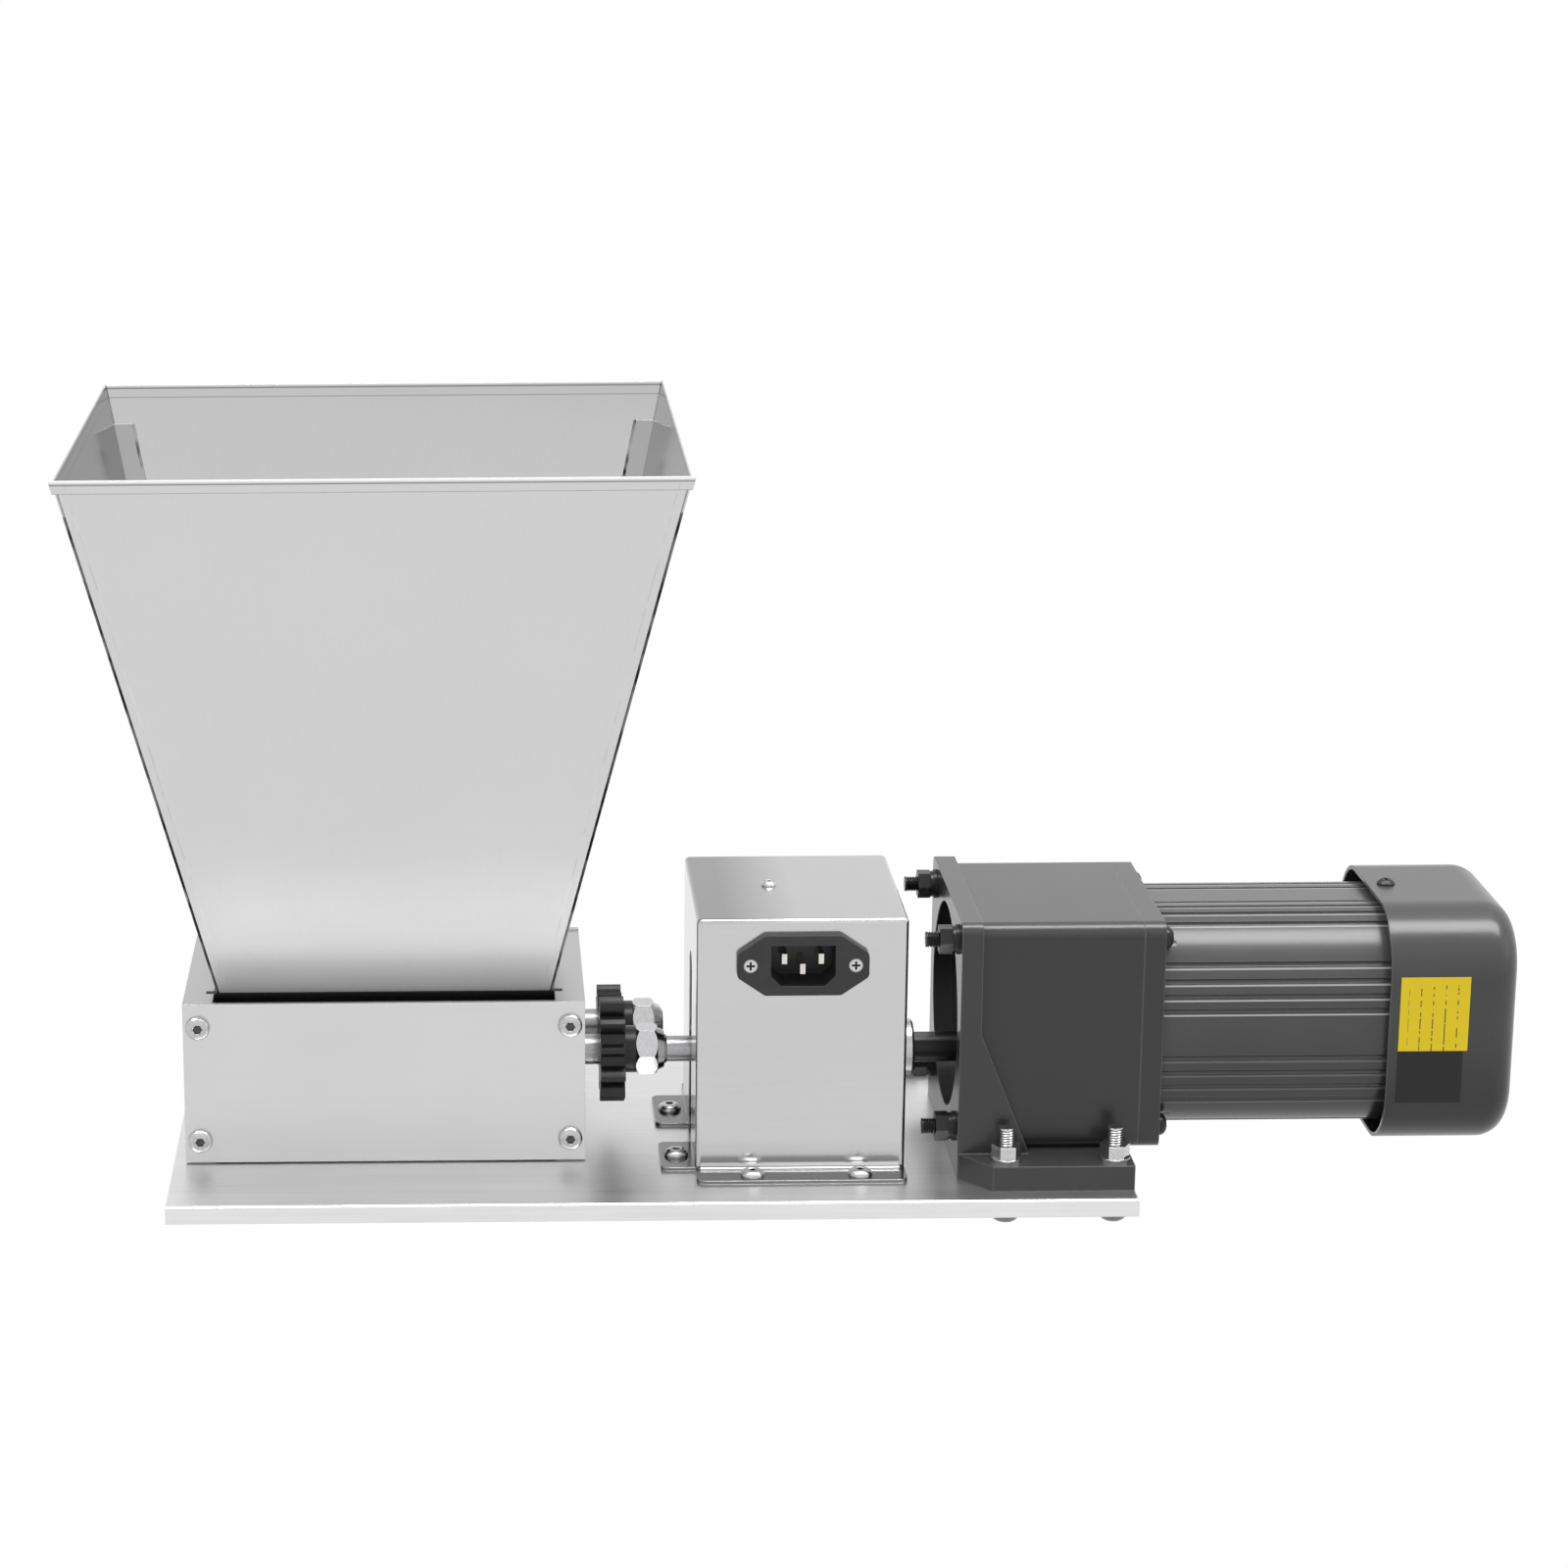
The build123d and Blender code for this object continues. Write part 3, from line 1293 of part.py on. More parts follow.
def make_lead():
    radii = bend_radii(lead_route)
    print("lead bend radii", [round(radius, 1) for radius in radii])
    path = FilletPolyline(*lead_route, radius=radii)
    section = Plane(origin=path @ 0, z_dir=path % 0) * Circle(lead_diameter / 2)
    lead = sweep(section, path=path)
    share = lead.volume / (section.area * path.length)
    print("lead length", round(path.length, 1), "volume share", round(share, 3))
    keep("motor_lead", lead)
    side = drive_y + motor_half
    gland = rod_y(lead_exit_x, side, side + lead_gland_length, lead_exit_z, lead_gland_diameter / 2)
    wall = cover_back - cover_sheet
    outer = lead_diameter / 2 + 1.5
    grommet = rod_y(lead_entry_x, wall, cover_back, lead_entry_z, outer)
    grommet += rod_y(lead_entry_x, cover_back, cover_back + 1.5, lead_entry_z, outer + 1.5)
    grommet += rod_y(lead_entry_x, wall - 1.5, wall, lead_entry_z, outer + 1.5)
    keep("lead_grommets", gland - lead, grommet - lead)
    half = lead_clip_width / 2
    radius = lead_diameter / 2 + 0.8
    thick = lead_clip_thickness
    outer = radius + thick
    arch = Circle(outer) + Pos(0, -outer / 2) * Rectangle(2 * outer, outer)
    hollow = Circle(radius) + Pos(0, -radius) * Rectangle(2 * radius, 2 * radius)
    z = lead_low + 0.3
    strap = prism_x(Pos(lead_clip_y, z) * arch, lead_clip_x - half, lead_clip_x + half)
    strap -= prism_x(Pos(lead_clip_y, z) * hollow, lead_clip_x - half - 1, lead_clip_x + half + 1)
    strap &= block(lead_clip_x - half, lead_clip_x + half, lead_clip_y - 10, lead_clip_y + 10, 0, 20)
    near = lead_clip_y + radius
    foot = block(lead_clip_x - half, lead_clip_x + half, near, near + lead_clip_foot, 0, thick)
    strap += foot
    x, y = lead_clip_screw
    strap -= rod_z(x, y, -1, thick + 1, (cover_screw_diameter + clearance) / 2)
    keep("lead_clip", strap)


def make_motor():
    make_motor_flange()
    make_motor_housing()
    make_motor_inside()
    make_fan()
    make_fan_cover()
    make_labels()


os.makedirs("parts", exist_ok=True)
make_base_plate()
make_mill_body()
make_rollers()
make_hopper()
make_cover()
make_coupling()
make_bracket()
make_gearbox()
make_motor()
make_lead()
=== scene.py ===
import json
import math
import bpy
import numpy as np
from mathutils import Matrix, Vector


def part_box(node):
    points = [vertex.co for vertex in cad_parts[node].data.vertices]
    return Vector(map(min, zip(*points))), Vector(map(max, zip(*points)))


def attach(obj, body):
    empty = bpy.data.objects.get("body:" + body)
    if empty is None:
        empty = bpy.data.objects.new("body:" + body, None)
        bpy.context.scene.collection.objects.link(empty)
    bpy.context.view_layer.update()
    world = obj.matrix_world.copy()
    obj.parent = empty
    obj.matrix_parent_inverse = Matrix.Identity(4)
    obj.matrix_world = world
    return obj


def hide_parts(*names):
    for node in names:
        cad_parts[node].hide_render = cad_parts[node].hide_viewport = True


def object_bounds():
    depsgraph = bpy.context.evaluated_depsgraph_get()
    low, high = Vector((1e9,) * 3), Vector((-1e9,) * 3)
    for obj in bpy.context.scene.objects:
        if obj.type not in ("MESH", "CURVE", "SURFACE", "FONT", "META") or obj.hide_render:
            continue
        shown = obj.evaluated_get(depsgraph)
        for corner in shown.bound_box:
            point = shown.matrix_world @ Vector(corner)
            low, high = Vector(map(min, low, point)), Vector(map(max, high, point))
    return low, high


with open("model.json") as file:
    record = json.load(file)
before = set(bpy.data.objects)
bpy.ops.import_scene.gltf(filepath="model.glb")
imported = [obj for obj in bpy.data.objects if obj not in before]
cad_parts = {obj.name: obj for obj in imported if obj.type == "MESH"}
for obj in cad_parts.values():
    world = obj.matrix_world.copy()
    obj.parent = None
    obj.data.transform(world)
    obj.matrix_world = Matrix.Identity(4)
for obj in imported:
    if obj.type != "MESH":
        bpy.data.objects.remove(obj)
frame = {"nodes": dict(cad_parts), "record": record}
nodes = frame["nodes"]
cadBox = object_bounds()
mm = 0.001
print("frame loaded:", len(nodes), "nodes")

slotOf = {entry["node"]: entry["material_slot"] for entry in frame["record"]["subparts"]}
bodies = frame["record"]["behaviour"]["bodies"]
bodyOf = {node: body for body, members in bodies.items() for node in members}


def lowOf(nodeName):
    # a node's lowest corner in millimetres
    return [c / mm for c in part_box(nodeName)[0]]


def highOf(nodeName):
    return [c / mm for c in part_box(nodeName)[1]]


def middleOf(nodeName):
    return [(a + b) / 2 for a, b in zip(lowOf(nodeName), highOf(nodeName))]


def pointsOf(nodeName):
    # every point of a node's mesh in millimetres, one row each
    mesh = nodes[nodeName].data
    points = np.empty(len(mesh.vertices) * 3)
    mesh.vertices.foreach_get("co", points)
    return points.reshape(-1, 3) / mm


class Value:
    # wraps one float socket, so that a + b, 1 - a and a * b add Math nodes
    def __init__(self, maker, socket):
        self.maker = maker
        self.socket = socket

    def math(self, operation, *others):
        inputs = dict(enumerate((self, *others)))
        return self.maker.node("ShaderNodeMath", {"operation": operation}, inputs)

    def __add__(self, other):
        return self.math("ADD", other)

    def __radd__(self, other):
        return self.math("ADD", other)

    def __sub__(self, other):
        return self.math("SUBTRACT", other)

    def __rsub__(self, other):
        return self.maker.node("ShaderNodeMath", {"operation": "SUBTRACT"}, {0: other, 1: self})

    def __mul__(self, other):
        return self.math("MULTIPLY", other)

    def __rmul__(self, other):
        return self.math("MULTIPLY", other)

    def __truediv__(self, other):
        return self.math("DIVIDE", other)

    def __pow__(self, other):
        return self.math("POWER", other)

    def abs(self):
        return self.math("ABSOLUTE")

    def fraction(self):
        return self.math("FRACT")

    def over(self, limit):
        return self.math("GREATER_THAN", limit)

    def under(self, limit):
        return self.math("LESS_THAN", limit)

    def least(self, other):
        return self.math("MINIMUM", other)

    def most(self, other):
        return self.math("MAXIMUM", other)

    def sine(self):
        return self.math("SINE")

    def ramp(self, low, high, outLow=0.0, outHigh=1.0):
        # straight change between two input values, held flat beyond them
        values = {"Value": self, "From Min": low, "From Max": high, "To Min": outLow, "To Max": outHigh}
        return self.maker.node("ShaderNodeMapRange", {"clamp": True}, values)

    def line(self, place, outer, inner):
        # 1 closer than inner to a place, 0 farther than outer from it, straight between
        return (self - place).abs().ramp(outer, inner)


roundLook = {"samples": 4, "highlightSamples": 6, "highlightGain": 6.0}


class Finish:
    # one material and the nodes that make it
    def __init__(self, name):
        self.material = bpy.data.materials.new(name)
        self.material.use_nodes = True
        self.tree = self.material.node_tree
        self.shader = self.tree.nodes["Principled BSDF"]
        self.place = self.node("ShaderNodeTexCoord", output="Object").socket
        self.x, self.y, self.z = (self.component(self.place, axis) for axis in range(3))
        self.up = self.component(self.node("ShaderNodeTexCoord", output="Normal"), 2).most(0)
        # painted shade in threads, sockets, knurl valleys and on heads under the plate, and the dark label's
        # colour
        self.hollow = self.node("ShaderNodeAttribute", {"attribute_name": "hollow"}, output="Fac")

    def join(self, value, socket):
        # links a socket, or sets a plain value on it; a colour gets its fourth number here
        if isinstance(value, Value):
            value = value.socket
        if isinstance(value, bpy.types.NodeSocket):
            self.tree.links.new(value, socket)
        elif socket.type == "RGBA":
            socket.default_value = (*value, 1)
        else:
            socket.default_value = value

    def node(self, kind, settings=None, values=None, output=0):
        # adds any node: its settings first, then the values or links of its sockets
        made = self.tree.nodes.new(kind)
        for key, value in (settings or {}).items():
            setattr(made, key, value)
        for key, value in (values or {}).items():
            self.join(value, made.inputs[key])
        return Value(self, made.outputs[output])

    def component(self, vector, axis):
        return self.node("ShaderNodeSeparateXYZ", None, {0: vector}, axis)

    def noise(self, size, detail, roughness=0.5, stretch=(1, 1, 1)):
        # fractal noise: size is one blotch in millimetres, stretch makes it longer along an axis
        factors = [1 / (size * mm * longer) for longer in stretch]
        scaled = self.node("ShaderNodeVectorMath", {"operation": "MULTIPLY"}, {0: self.place, 1: factors})
        values = {"Vector": scaled, "Scale": 1.0, "Detail": detail, "Roughness": roughness}
        return self.node("ShaderNodeTexNoise", None, values)

    def mix(self, factor, first, second):
        # blends two colours by a factor
        return self.node("ShaderNodeMix", {"data_type": "RGBA"}, {0: factor, 6: first, 7: second}, 2).socket

    def grey(self, value):
        # a grey colour from a number that changes over the surface
        return self.node("ShaderNodeCombineColor", None, {0: value, 1: value, 2: value}).socket

    def edge(self, radius, samples=roundLook["samples"]):
        # the normal with every sharp edge rounded off by a radius in millimetres
        return self.node("ShaderNodeBevel", {"samples": samples}, {"Radius": radius * mm}).socket

    def edgeHighlight(self, radius):
        # the mask for painted edge highlights: 1 on a sharp edge and 0 away from it: gain * (1 - rounded normal
        # . flat normal)
        flat = self.node("ShaderNodeNewGeometry", output="Normal")
        both = {0: self.edge(radius, roundLook["highlightSamples"]), 1: flat}
        same = self.node("ShaderNodeVectorMath", {"operation": "DOT_PRODUCT"}, both, "Value")
        return ((1 - same) * roundLook["highlightGain"]).ramp(0, 1)

    def bump(self, height, distance, strength, normal=None):
        # raises the surface by height * distance, in millimetres
        values = {"Strength": strength, "Distance": distance * mm, "Height": height}
        if normal is not None:
            values["Normal"] = normal
        return self.node("ShaderNodeBump", None, values).socket

    def set(self, **values):
        # sockets by name, with an underscore for each space
        for key, value in values.items():
            self.join(value, self.shader.inputs[key.replace("_", " ")])
        return self


hopperLook = {
    "colour": 0.63,
    # painted shade: the inner faces get darker colours than the outside
    "insideBackShade": 0.46,  # colour of the inner faces, front and back sheets
    "insideEndsShade": 0.33,  # and left and right sheets
    "insideGloss": 0.7,  # how much of the roughness the inner faces lose
    "cloud": 0.03,
    "grain": 0.02,
    "roughness": 0.36,
    "edge": 0.4,
    "footHalf": (66.1, 28.0),
    "seamInset": 5.2,
    "seamWidth": 0.45,
    "edgeWidth": 2.7,
    "plainTop": 14.0,
    "skin": 1.45,
    "flangeEdge": 9.1,
    "rimLine": (1.5, 0.45, 0.15),  # depth below the rim, outer and inner reach
    "hemLine": (5.0, 0.4, 0.1),
    "rimHighlight": 0.7,
    "groundFoot": (0.04, 0.2),  # shares of the height
    "groundMetal": 0.15,
}


def hopperSlope(f):
    # how far inside the hopper's sloping outline a point is, in millimetres, along X and along Y;
    # half the outline = half the foot + (half the rim - half the foot) * share of the height
    low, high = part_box("hopper_front_panel")
    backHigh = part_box("hopper_back_panel")[1]
    middle = ((low[0] + high[0]) / 2, (low[1] + backHigh[1]) / 2)
    rimHalf = ((high[0] - low[0]) / 2, (backHigh[1] - low[1]) / 2)
    share = (f.z - low[2]) / (high[2] - low[2])
    inside = []
    for along, centre, rim, foot in zip((f.x, f.y), middle, rimHalf, hopperLook["footHalf"]):
        half = share * (rim - foot * mm) + foot * mm
        inside.append((half - (along - centre).abs()) / mm)
    return *inside, (high[2] - f.z) / mm, share


def hopperSteel(name, kind):
    # colour = base + wide cloud + fine upright grain, with painted shade darkening the inner faces, which are
    # also less rough;
    # two painted shade lines mark the bends at the rim and the hem, and a painted highlight lies on the rim
    # itself;
    # the front has a faint welded seam beside each slanted edge, the ends a painted shadow line along their
    # front edge and painted shade on their inward flanges
    look = hopperLook
    f = Finish(name)
    insideX, insideY, fromRim, share = hopperSlope(f)
    cloud = f.noise(60, 3) - 0.5
    grain = f.noise(1.8, 2, 0.5, (1, 1, 40)) - 0.5
    patch = f.noise(7, 2, 0.6, (1, 1, 3)).ramp(0.40, 0.58)
    tone = cloud * look["cloud"] + grain * look["grain"] + look["colour"]
    # painted shade: the inner faces are darkened, as the hopper shades them
    deep, insideShade = (insideX, look["insideEndsShade"]) if kind == "end" else (insideY, look["insideBackShade"])
    inner = deep.ramp(look["skin"], look["skin"] + 0.1)
    tone = tone * (1 - inner * (1 - insideShade / look["colour"]))
    if kind == "end":
        # painted shadow: a dark line along the end sheet's front edge where it meets the front sheet, and
        # patchy painted shade on the inward flanges
        edgeShade = insideY.ramp(look["edgeWidth"] + 0.5, look["edgeWidth"]) * fromRim.over(look["plainTop"])
        edgeShade = edgeShade.most(insideX.over(look["flangeEdge"]) * patch)
        tone = tone * (1 - edgeShade * (patch * 0.35 + 0.62))
    if kind == "front":
        seam = insideX.line(look["seamInset"], look["seamWidth"], 0.1)
        tone = tone + seam * (patch * 0.12 - 0.09)
    # painted shade: darker level lines along the bends of the rim and the hem
    tone = tone * (1 - fromRim.line(*look["rimLine"]) * 0.5) * (1 - fromRim.line(*look["hemLine"]) * 0.3)
    # painted highlight: the top edge of the rim made brighter
    tone = tone + fromRim.under(look["rimHighlight"]) * 0.25
    # near the foot the sheet is ground matt: metallic rises to 1 over the lowest part
    metal = share.ramp(*look["groundFoot"], look["groundMetal"], 1.0)
    rough = (cloud * 0.08 + grain * 0.05 + look["roughness"]) * (1 - inner * look["insideGloss"])
    normal = f.bump(f.noise(0.5, 2, 0.5, (1, 1, 60)), 0.004, 0.4, f.edge(look["edge"]))
    return f.set(Base_Color=f.grey(tone), Roughness=rough, Metallic=metal, Normal=normal).material


# top: the share of the colour that painted shade leaves on upward faces
millLook = {"colour": 0.63, "streak": 0.025, "cloud": 0.03, "top": 0.76, "roughness": 0.3, "edge": 0.4}


def millSteel():
    # colour = base + fine level streaks + wide cloud, darker on upward faces by painted shade;
    # roughness = base + streaks + cloud
    f = Finish("millSteel")
    streak = f.noise(0.7, 3, 0.6, (70, 1, 1)) - 0.5
    cloud = f.noise(45, 3) - 0.5
    tone = streak * millLook["streak"] + cloud * millLook["cloud"] + millLook["colour"]
    # painted shade: upward faces darkened
    tone = tone * (1 - f.up * (1 - millLook["top"]))
    rough = streak * 0.08 + cloud * 0.06 + millLook["roughness"]
    normal = f.bump(streak, 0.006, 0.4, f.edge(millLook["edge"]))
    return f.set(Base_Color=f.grey(tone), Roughness=rough, Metallic=1.0, Normal=normal).material


plateLook = {
    "colour": 0.71,
    "streak": 0.14,
    "blotch": 0.16,
    # rim: painted highlight added on the faces that don't face up
    "rim": 0.03,
    "roughness": 0.34,
    "edge": 0.35,
}


def brushedPlate():
    # colour = base + coarse and fine streaks along X + worn blotches, with a painted highlight on the cut rim
    # and the other side faces;
    # the bump follows both kinds of streak
    f = Finish("brushedPlate")
    fine = f.noise(0.45, 4, 0.7, (150, 1, 1)) - 0.5
    coarse = f.noise(2.6, 3, 0.6, (45, 1, 1)) - 0.5
    blotch = f.noise(38, 4, 0.6, (1.8, 1, 1)) - 0.5
    streaks = fine + coarse
    tone = streaks * plateLook["streak"] + blotch * plateLook["blotch"] + plateLook["colour"]
    # painted highlight: side faces, the cut rim among them, made brighter
    tone = tone + (1 - f.up) * plateLook["rim"]
    rough = fine * 0.16 + coarse * 0.1 + blotch * 0.12 + plateLook["roughness"]
    normal = f.bump(streaks, 0.02, 0.55, f.edge(plateLook["edge"]))
    return f.set(Base_Color=f.grey(tone), Roughness=rough, Metallic=1.0, Normal=normal).material


coverLook = {
    "colour": 0.575,
    "roughness": 0.16,
    "edge": 0.5,
    "top": 0.9,  # shares of the colour on the top and on the feet, left by painted shade
    "foot": 0.33,
    "footRise": 2.5,
    "leftTopShade": 0.5,
    "leftShade": (-4.0, 24.0),  # where the painted shade on the left of the top fades, from the inlet's left side
    "edgeHighlight": 0.22,
    "highlightRadius": 0.9,
}


def coverSteel():
    # polished sheet: colour = base + wide noise + faint level grain, smooth enough to mirror softly;
    # painted shade darkens the top, the feet and the left of the top, and painted highlights brighten the bends
    look = coverLook
    f = Finish("coverSteel")
    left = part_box("mains_inlet_body")[0][0]
    cloud = f.noise(50, 3) - 0.5
    grain = f.noise(0.7, 2, 0.6, (50, 50, 1)) - 0.5
    # the feet, which painted shade darkens below
    foot = f.z.under(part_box("cover_box")[0][2] + look["footRise"] * mm)
    # painted shade on the left of the top, fading out to the right
    fadeStart, fadeEnd = (left + step * mm for step in look["leftShade"])
    leftShade = f.up * f.x.ramp(fadeStart, fadeEnd, 1.0, 0.0) * (1 - foot)
    # painted shade: upward faces darkened
    tone = (cloud * 0.03 + grain * 0.02 + look["colour"]) * (1 - f.up * (1 - look["top"]))
    tone = tone * (1 - foot * (1 - look["foot"])) * (1 - leftShade * (1 - look["leftTopShade"]))
    # painted highlight: bends and edges made brighter
    tone = tone + f.edgeHighlight(look["highlightRadius"]) * look["edgeHighlight"]
    rough = cloud * 0.06 + grain * 0.05 + look["roughness"]
    normal = f.bump(f.noise(30, 2, 0.4), 0.1, 0.2, f.edge(look["edge"]))
    return f.set(Base_Color=f.grey(tone), Roughness=rough, Metallic=1.0, Normal=normal).material


# highlightTint: how much paler the painted edge highlight is; the colour share of painted shade in hollows
platedLook = {"specks": 0.78, "highlightTint": 1.45, "hollow": 0.06, "speckRoughness": 0.08, "highlightRadius": 0.3}


def plated(name, colour, roughness, edge=0.25, metallic=1.0):
    # plated or turned metal: colour = base + fine specks, with painted highlights on the edges
    # and painted shade, nearly black, in threads, sockets and knurl valleys
    f = Finish(name)
    spots = f.noise(1.4, 3, 0.6) - 0.5
    fine = f.noise(0.35, 2) - 0.5
    specks, hollow = (tuple(c * platedLook[key] for c in colour) for key in ("specks", "hollow"))
    highlightTint = tuple(min(1, c * platedLook["highlightTint"]) for c in colour)
    shade = f.mix((spots * 1.6 + 0.35).ramp(0, 1), colour, specks)
    # painted highlight on the edges
    shade = f.mix(f.edgeHighlight(platedLook["highlightRadius"]) * 0.5, shade, highlightTint)
    shade = f.mix(f.hollow * 0.9, shade, hollow)
    normal = f.bump(fine, 0.01, 0.35, f.edge(edge))
    rough = spots * platedLook["speckRoughness"] + roughness
    return f.set(Base_Color=shade, Roughness=rough, Metallic=metallic, Normal=normal).material


castLook = {
    "top": 0.055,  # painted highlights added on upward faces, on edges and on groove lips
    "edgeHighlight": 0.077,
    "lipHighlight": 0.352,
    "roughness": 0.24,
    "grooves": (9.4, 15.2, 21.0, 27.0),  # from the housing's middle
    "lipRise": 1.5,
    "lipReach": (0.45, 0.15),
    "straight": 13.0,
    "footShadeHeight": 0.55,  # share of the fan cover's height
}


def grooveHighlights(f):
    # painted highlights: bright lines on the lower lip of each housing groove, on the front and on the top;
    # each line is a narrow ramp of the distance from its height or depth
    _, middleY, middleZ = middleOf("motor_housing")
    v = f.z / mm - middleZ
    u = f.y / mm - middleY
    straight = castLook["straight"]
    front = u.under(-straight) * v.ramp(-6, 6, 0.15, 1.0)
    top = v.over(straight)
    lines = None
    for groove in castLook["grooves"]:
        for way in (1, -1):
            lipHighlight = (way * groove - castLook["lipRise"], *castLook["lipReach"])
            both = (v.line(*lipHighlight) * front).most(u.line(*lipHighlight) * top)
            lines = both if lines is None else lines.most(both)
    return lines


def darkPaint(name="darkPaint", tone=0.019, edge=0.8, footShade=1.0, grooves=False):
    # thick dark grey paint: colour = tone * (1 + noise), with painted highlights on upward faces and on edges;
    # footShade is the share of the tone left at the fan cover's foot, a painted shade; soft orange peel
    f = Finish(name)
    wide = f.noise(30, 3) - 0.5
    fine = f.noise(0.9, 2) - 0.5
    low, high = (corner[2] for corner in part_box("fan_cover"))
    # painted shade: darker towards the fan cover's foot
    rise = f.z.ramp(low, low + (high - low) * castLook["footShadeHeight"], footShade, 1.0)
    grey = (wide * 0.3 + fine * 0.1 + 1) * tone * rise
    # painted highlights: upward faces and edges made paler
    grey = grey + f.up * castLook["top"] + f.edgeHighlight(edge) * castLook["edgeHighlight"]
    # painted highlights along the groove lips, when grooves is set
    if grooves:
        grey = grey + grooveHighlights(f) * castLook["lipHighlight"]
    rough = wide * 0.08 + fine * 0.04 + castLook["roughness"]
    normal = f.bump(fine, 0.012, 0.4, f.edge(edge))
    return f.set(Base_Color=f.grey(grey), Roughness=rough, Metallic=0.0, Normal=normal).material


def moulded(name, colour, roughness, grain=0.4):
    # moulded plastic or rubber: an even colour with a slightly paler bloom, spark-eroded bump
    f = Finish(name)
    bloom = f.noise(9, 3, 0.6)
    pale = tuple(c * 1.5 + 0.004 for c in colour)
    shade = f.mix(bloom.ramp(0.4, 0.8), colour, pale)
    normal = f.bump(f.noise(grain, 2), 0.02, 0.4, f.edge(0.4))
    return f.set(Base_Color=shade, Roughness=(bloom - 0.5) * 0.1 + roughness, Normal=normal).material


coreLook = {
    "pitch": 0.8,
    "gap": 0.22,  # share of the pitch
    "sheet": (0.16, 0.16, 0.18),
    "dark": (0.05, 0.05, 0.055),
    "turnPitch": (2.3, 0.9),  # along Y and Z
    "wire": ((0.20, 0.06, 0.02), (0.5, 0.2, 0.08)),
}


def laminated():
    # stacked sheet steel: thin dark lines across X on a blued grey
    f = Finish("lamination")
    line = (f.x / (coreLook["pitch"] * mm)).fraction().under(coreLook["gap"])
    shade = f.mix(line, coreLook["sheet"], coreLook["dark"])
    rough = f.noise(3, 2) * 0.1 + 0.45
    return f.set(Base_Color=shade, Roughness=rough, Metallic=0.8, Normal=f.edge(0.2)).material


def woundCopper():
    # varnished windings: two browns mixed by sine(y / pitch along Y + z / pitch along Z)
    f = Finish("woundCopper")
    alongY, alongZ = coreLook["turnPitch"]
    turns = (f.y / (alongY * mm) + f.z / (alongZ * mm)).sine()
    shade = f.mix(turns.ramp(-1, 1), *coreLook["wire"])
    rough = f.noise(4, 2) * 0.1 + 0.35
    return f.set(Base_Color=shade, Roughness=rough, Metallic=0.6, Normal=f.bump(turns, 0.15, 0.6)).material


headLook = {
    "arm": 0.075,  # shares of the head's diameter: half the cross's arm, its reach and where the rim starts
    "reach": 0.3,
    "rim": 0.43,
    "steel": (0.6, 0.6, 0.61),
    "cross": (0.03, 0.03, 0.03),
    "bright": (0.62, 0.62, 0.62),
    "black": (0.02, 0.02, 0.021),
}


def crossHeads(nodeName):
    # bright heads with a dark cross of painted shade in the recess and a painted shade ring at the rim: a point
    # is dark when it is close to a head's middle and to its X or Z line
    f = Finish("crossHeads")
    low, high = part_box(nodeName)
    head = high[2] - low[2]
    dx = ((f.x - (low[0] + high[0]) / 2).abs() - (high[0] - low[0] - head) / 2).abs()
    dz = (f.z - (low[2] + high[2]) / 2).abs()
    fromMiddle = (dx * dx + dz * dz) ** 0.5
    cross = dx.least(dz).under(head * headLook["arm"]) * fromMiddle.under(head * headLook["reach"])
    rim = fromMiddle.over(head * headLook["rim"])
    # painted shade: the cross recess and the ring at the rim made dark
    shade = f.mix(cross.most(rim * 0.7), headLook["steel"], headLook["cross"])
    rough = f.noise(0.8, 2) * 0.08 + 0.2
    return f.set(Base_Color=shade, Roughness=rough, Metallic=1.0, Normal=f.edge(0.1)).material


def panHeads():
    # the screw on the steel cover is bright, the two in the painted fan cover are black
    f = Finish("panHeads")
    painted = f.x.over(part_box("motor_flange")[1][0])
    shade = f.mix(painted, headLook["bright"], headLook["black"])
    rough = painted * 0.1 + f.noise(0.8, 2) * 0.08 + 0.22
    metal = 1 - painted * 0.8
    return f.set(Base_Color=shade, Roughness=rough, Metallic=metal, Normal=f.edge(0.15)).material


labelLook = {
    "yellow": (0.67, 0.50, 0.009),
    "soiled": 0.82,
    "dark": (0.014, 0.014, 0.015),
    "ink": (0.05, 0.045, 0.02),
    "inkShare": 0.8,
    "rulePitch": 4.7,
    "ruleWidth": 0.5,
    "breaks": 0.47,
    "margin": 2.4,
}


def ratingLabel():
    # upper label yellow with plain upright rules broken into dashes, the lower one blank and dark
    look = labelLook
    f = Finish("ratingLabel")
    low, high = lowOf("motor_labels"), highOf("motor_labels")
    margin = look["margin"]
    x, z = f.x / mm - low[0], f.z / mm - low[2]
    stripe = (x / look["rulePitch"]).fraction()
    rule = (stripe - 0.5).abs().under(look["ruleWidth"] / look["rulePitch"] / 2)
    row = f.noise(1.6, 1, 0.3, (6, 1, 1)).over(look["breaks"])
    inside = x.over(margin) * x.under(high[0] - low[0] - margin) * z.under(high[2] - low[2] - margin)
    soiled = tuple(c * look["soiled"] for c in look["yellow"])
    paper = f.mix(f.noise(6, 3, 0.6) * 0.35, look["yellow"], soiled)
    printed = f.mix(rule * row * inside * look["inkShare"], paper, look["ink"])
    shade = f.mix(f.hollow, printed, look["dark"])
    rough = f.noise(5, 2) * 0.1 + 0.4
    return f.set(Base_Color=shade, Roughness=rough, Specular_IOR_Level=0.25, Normal=f.edge(0.05)).material


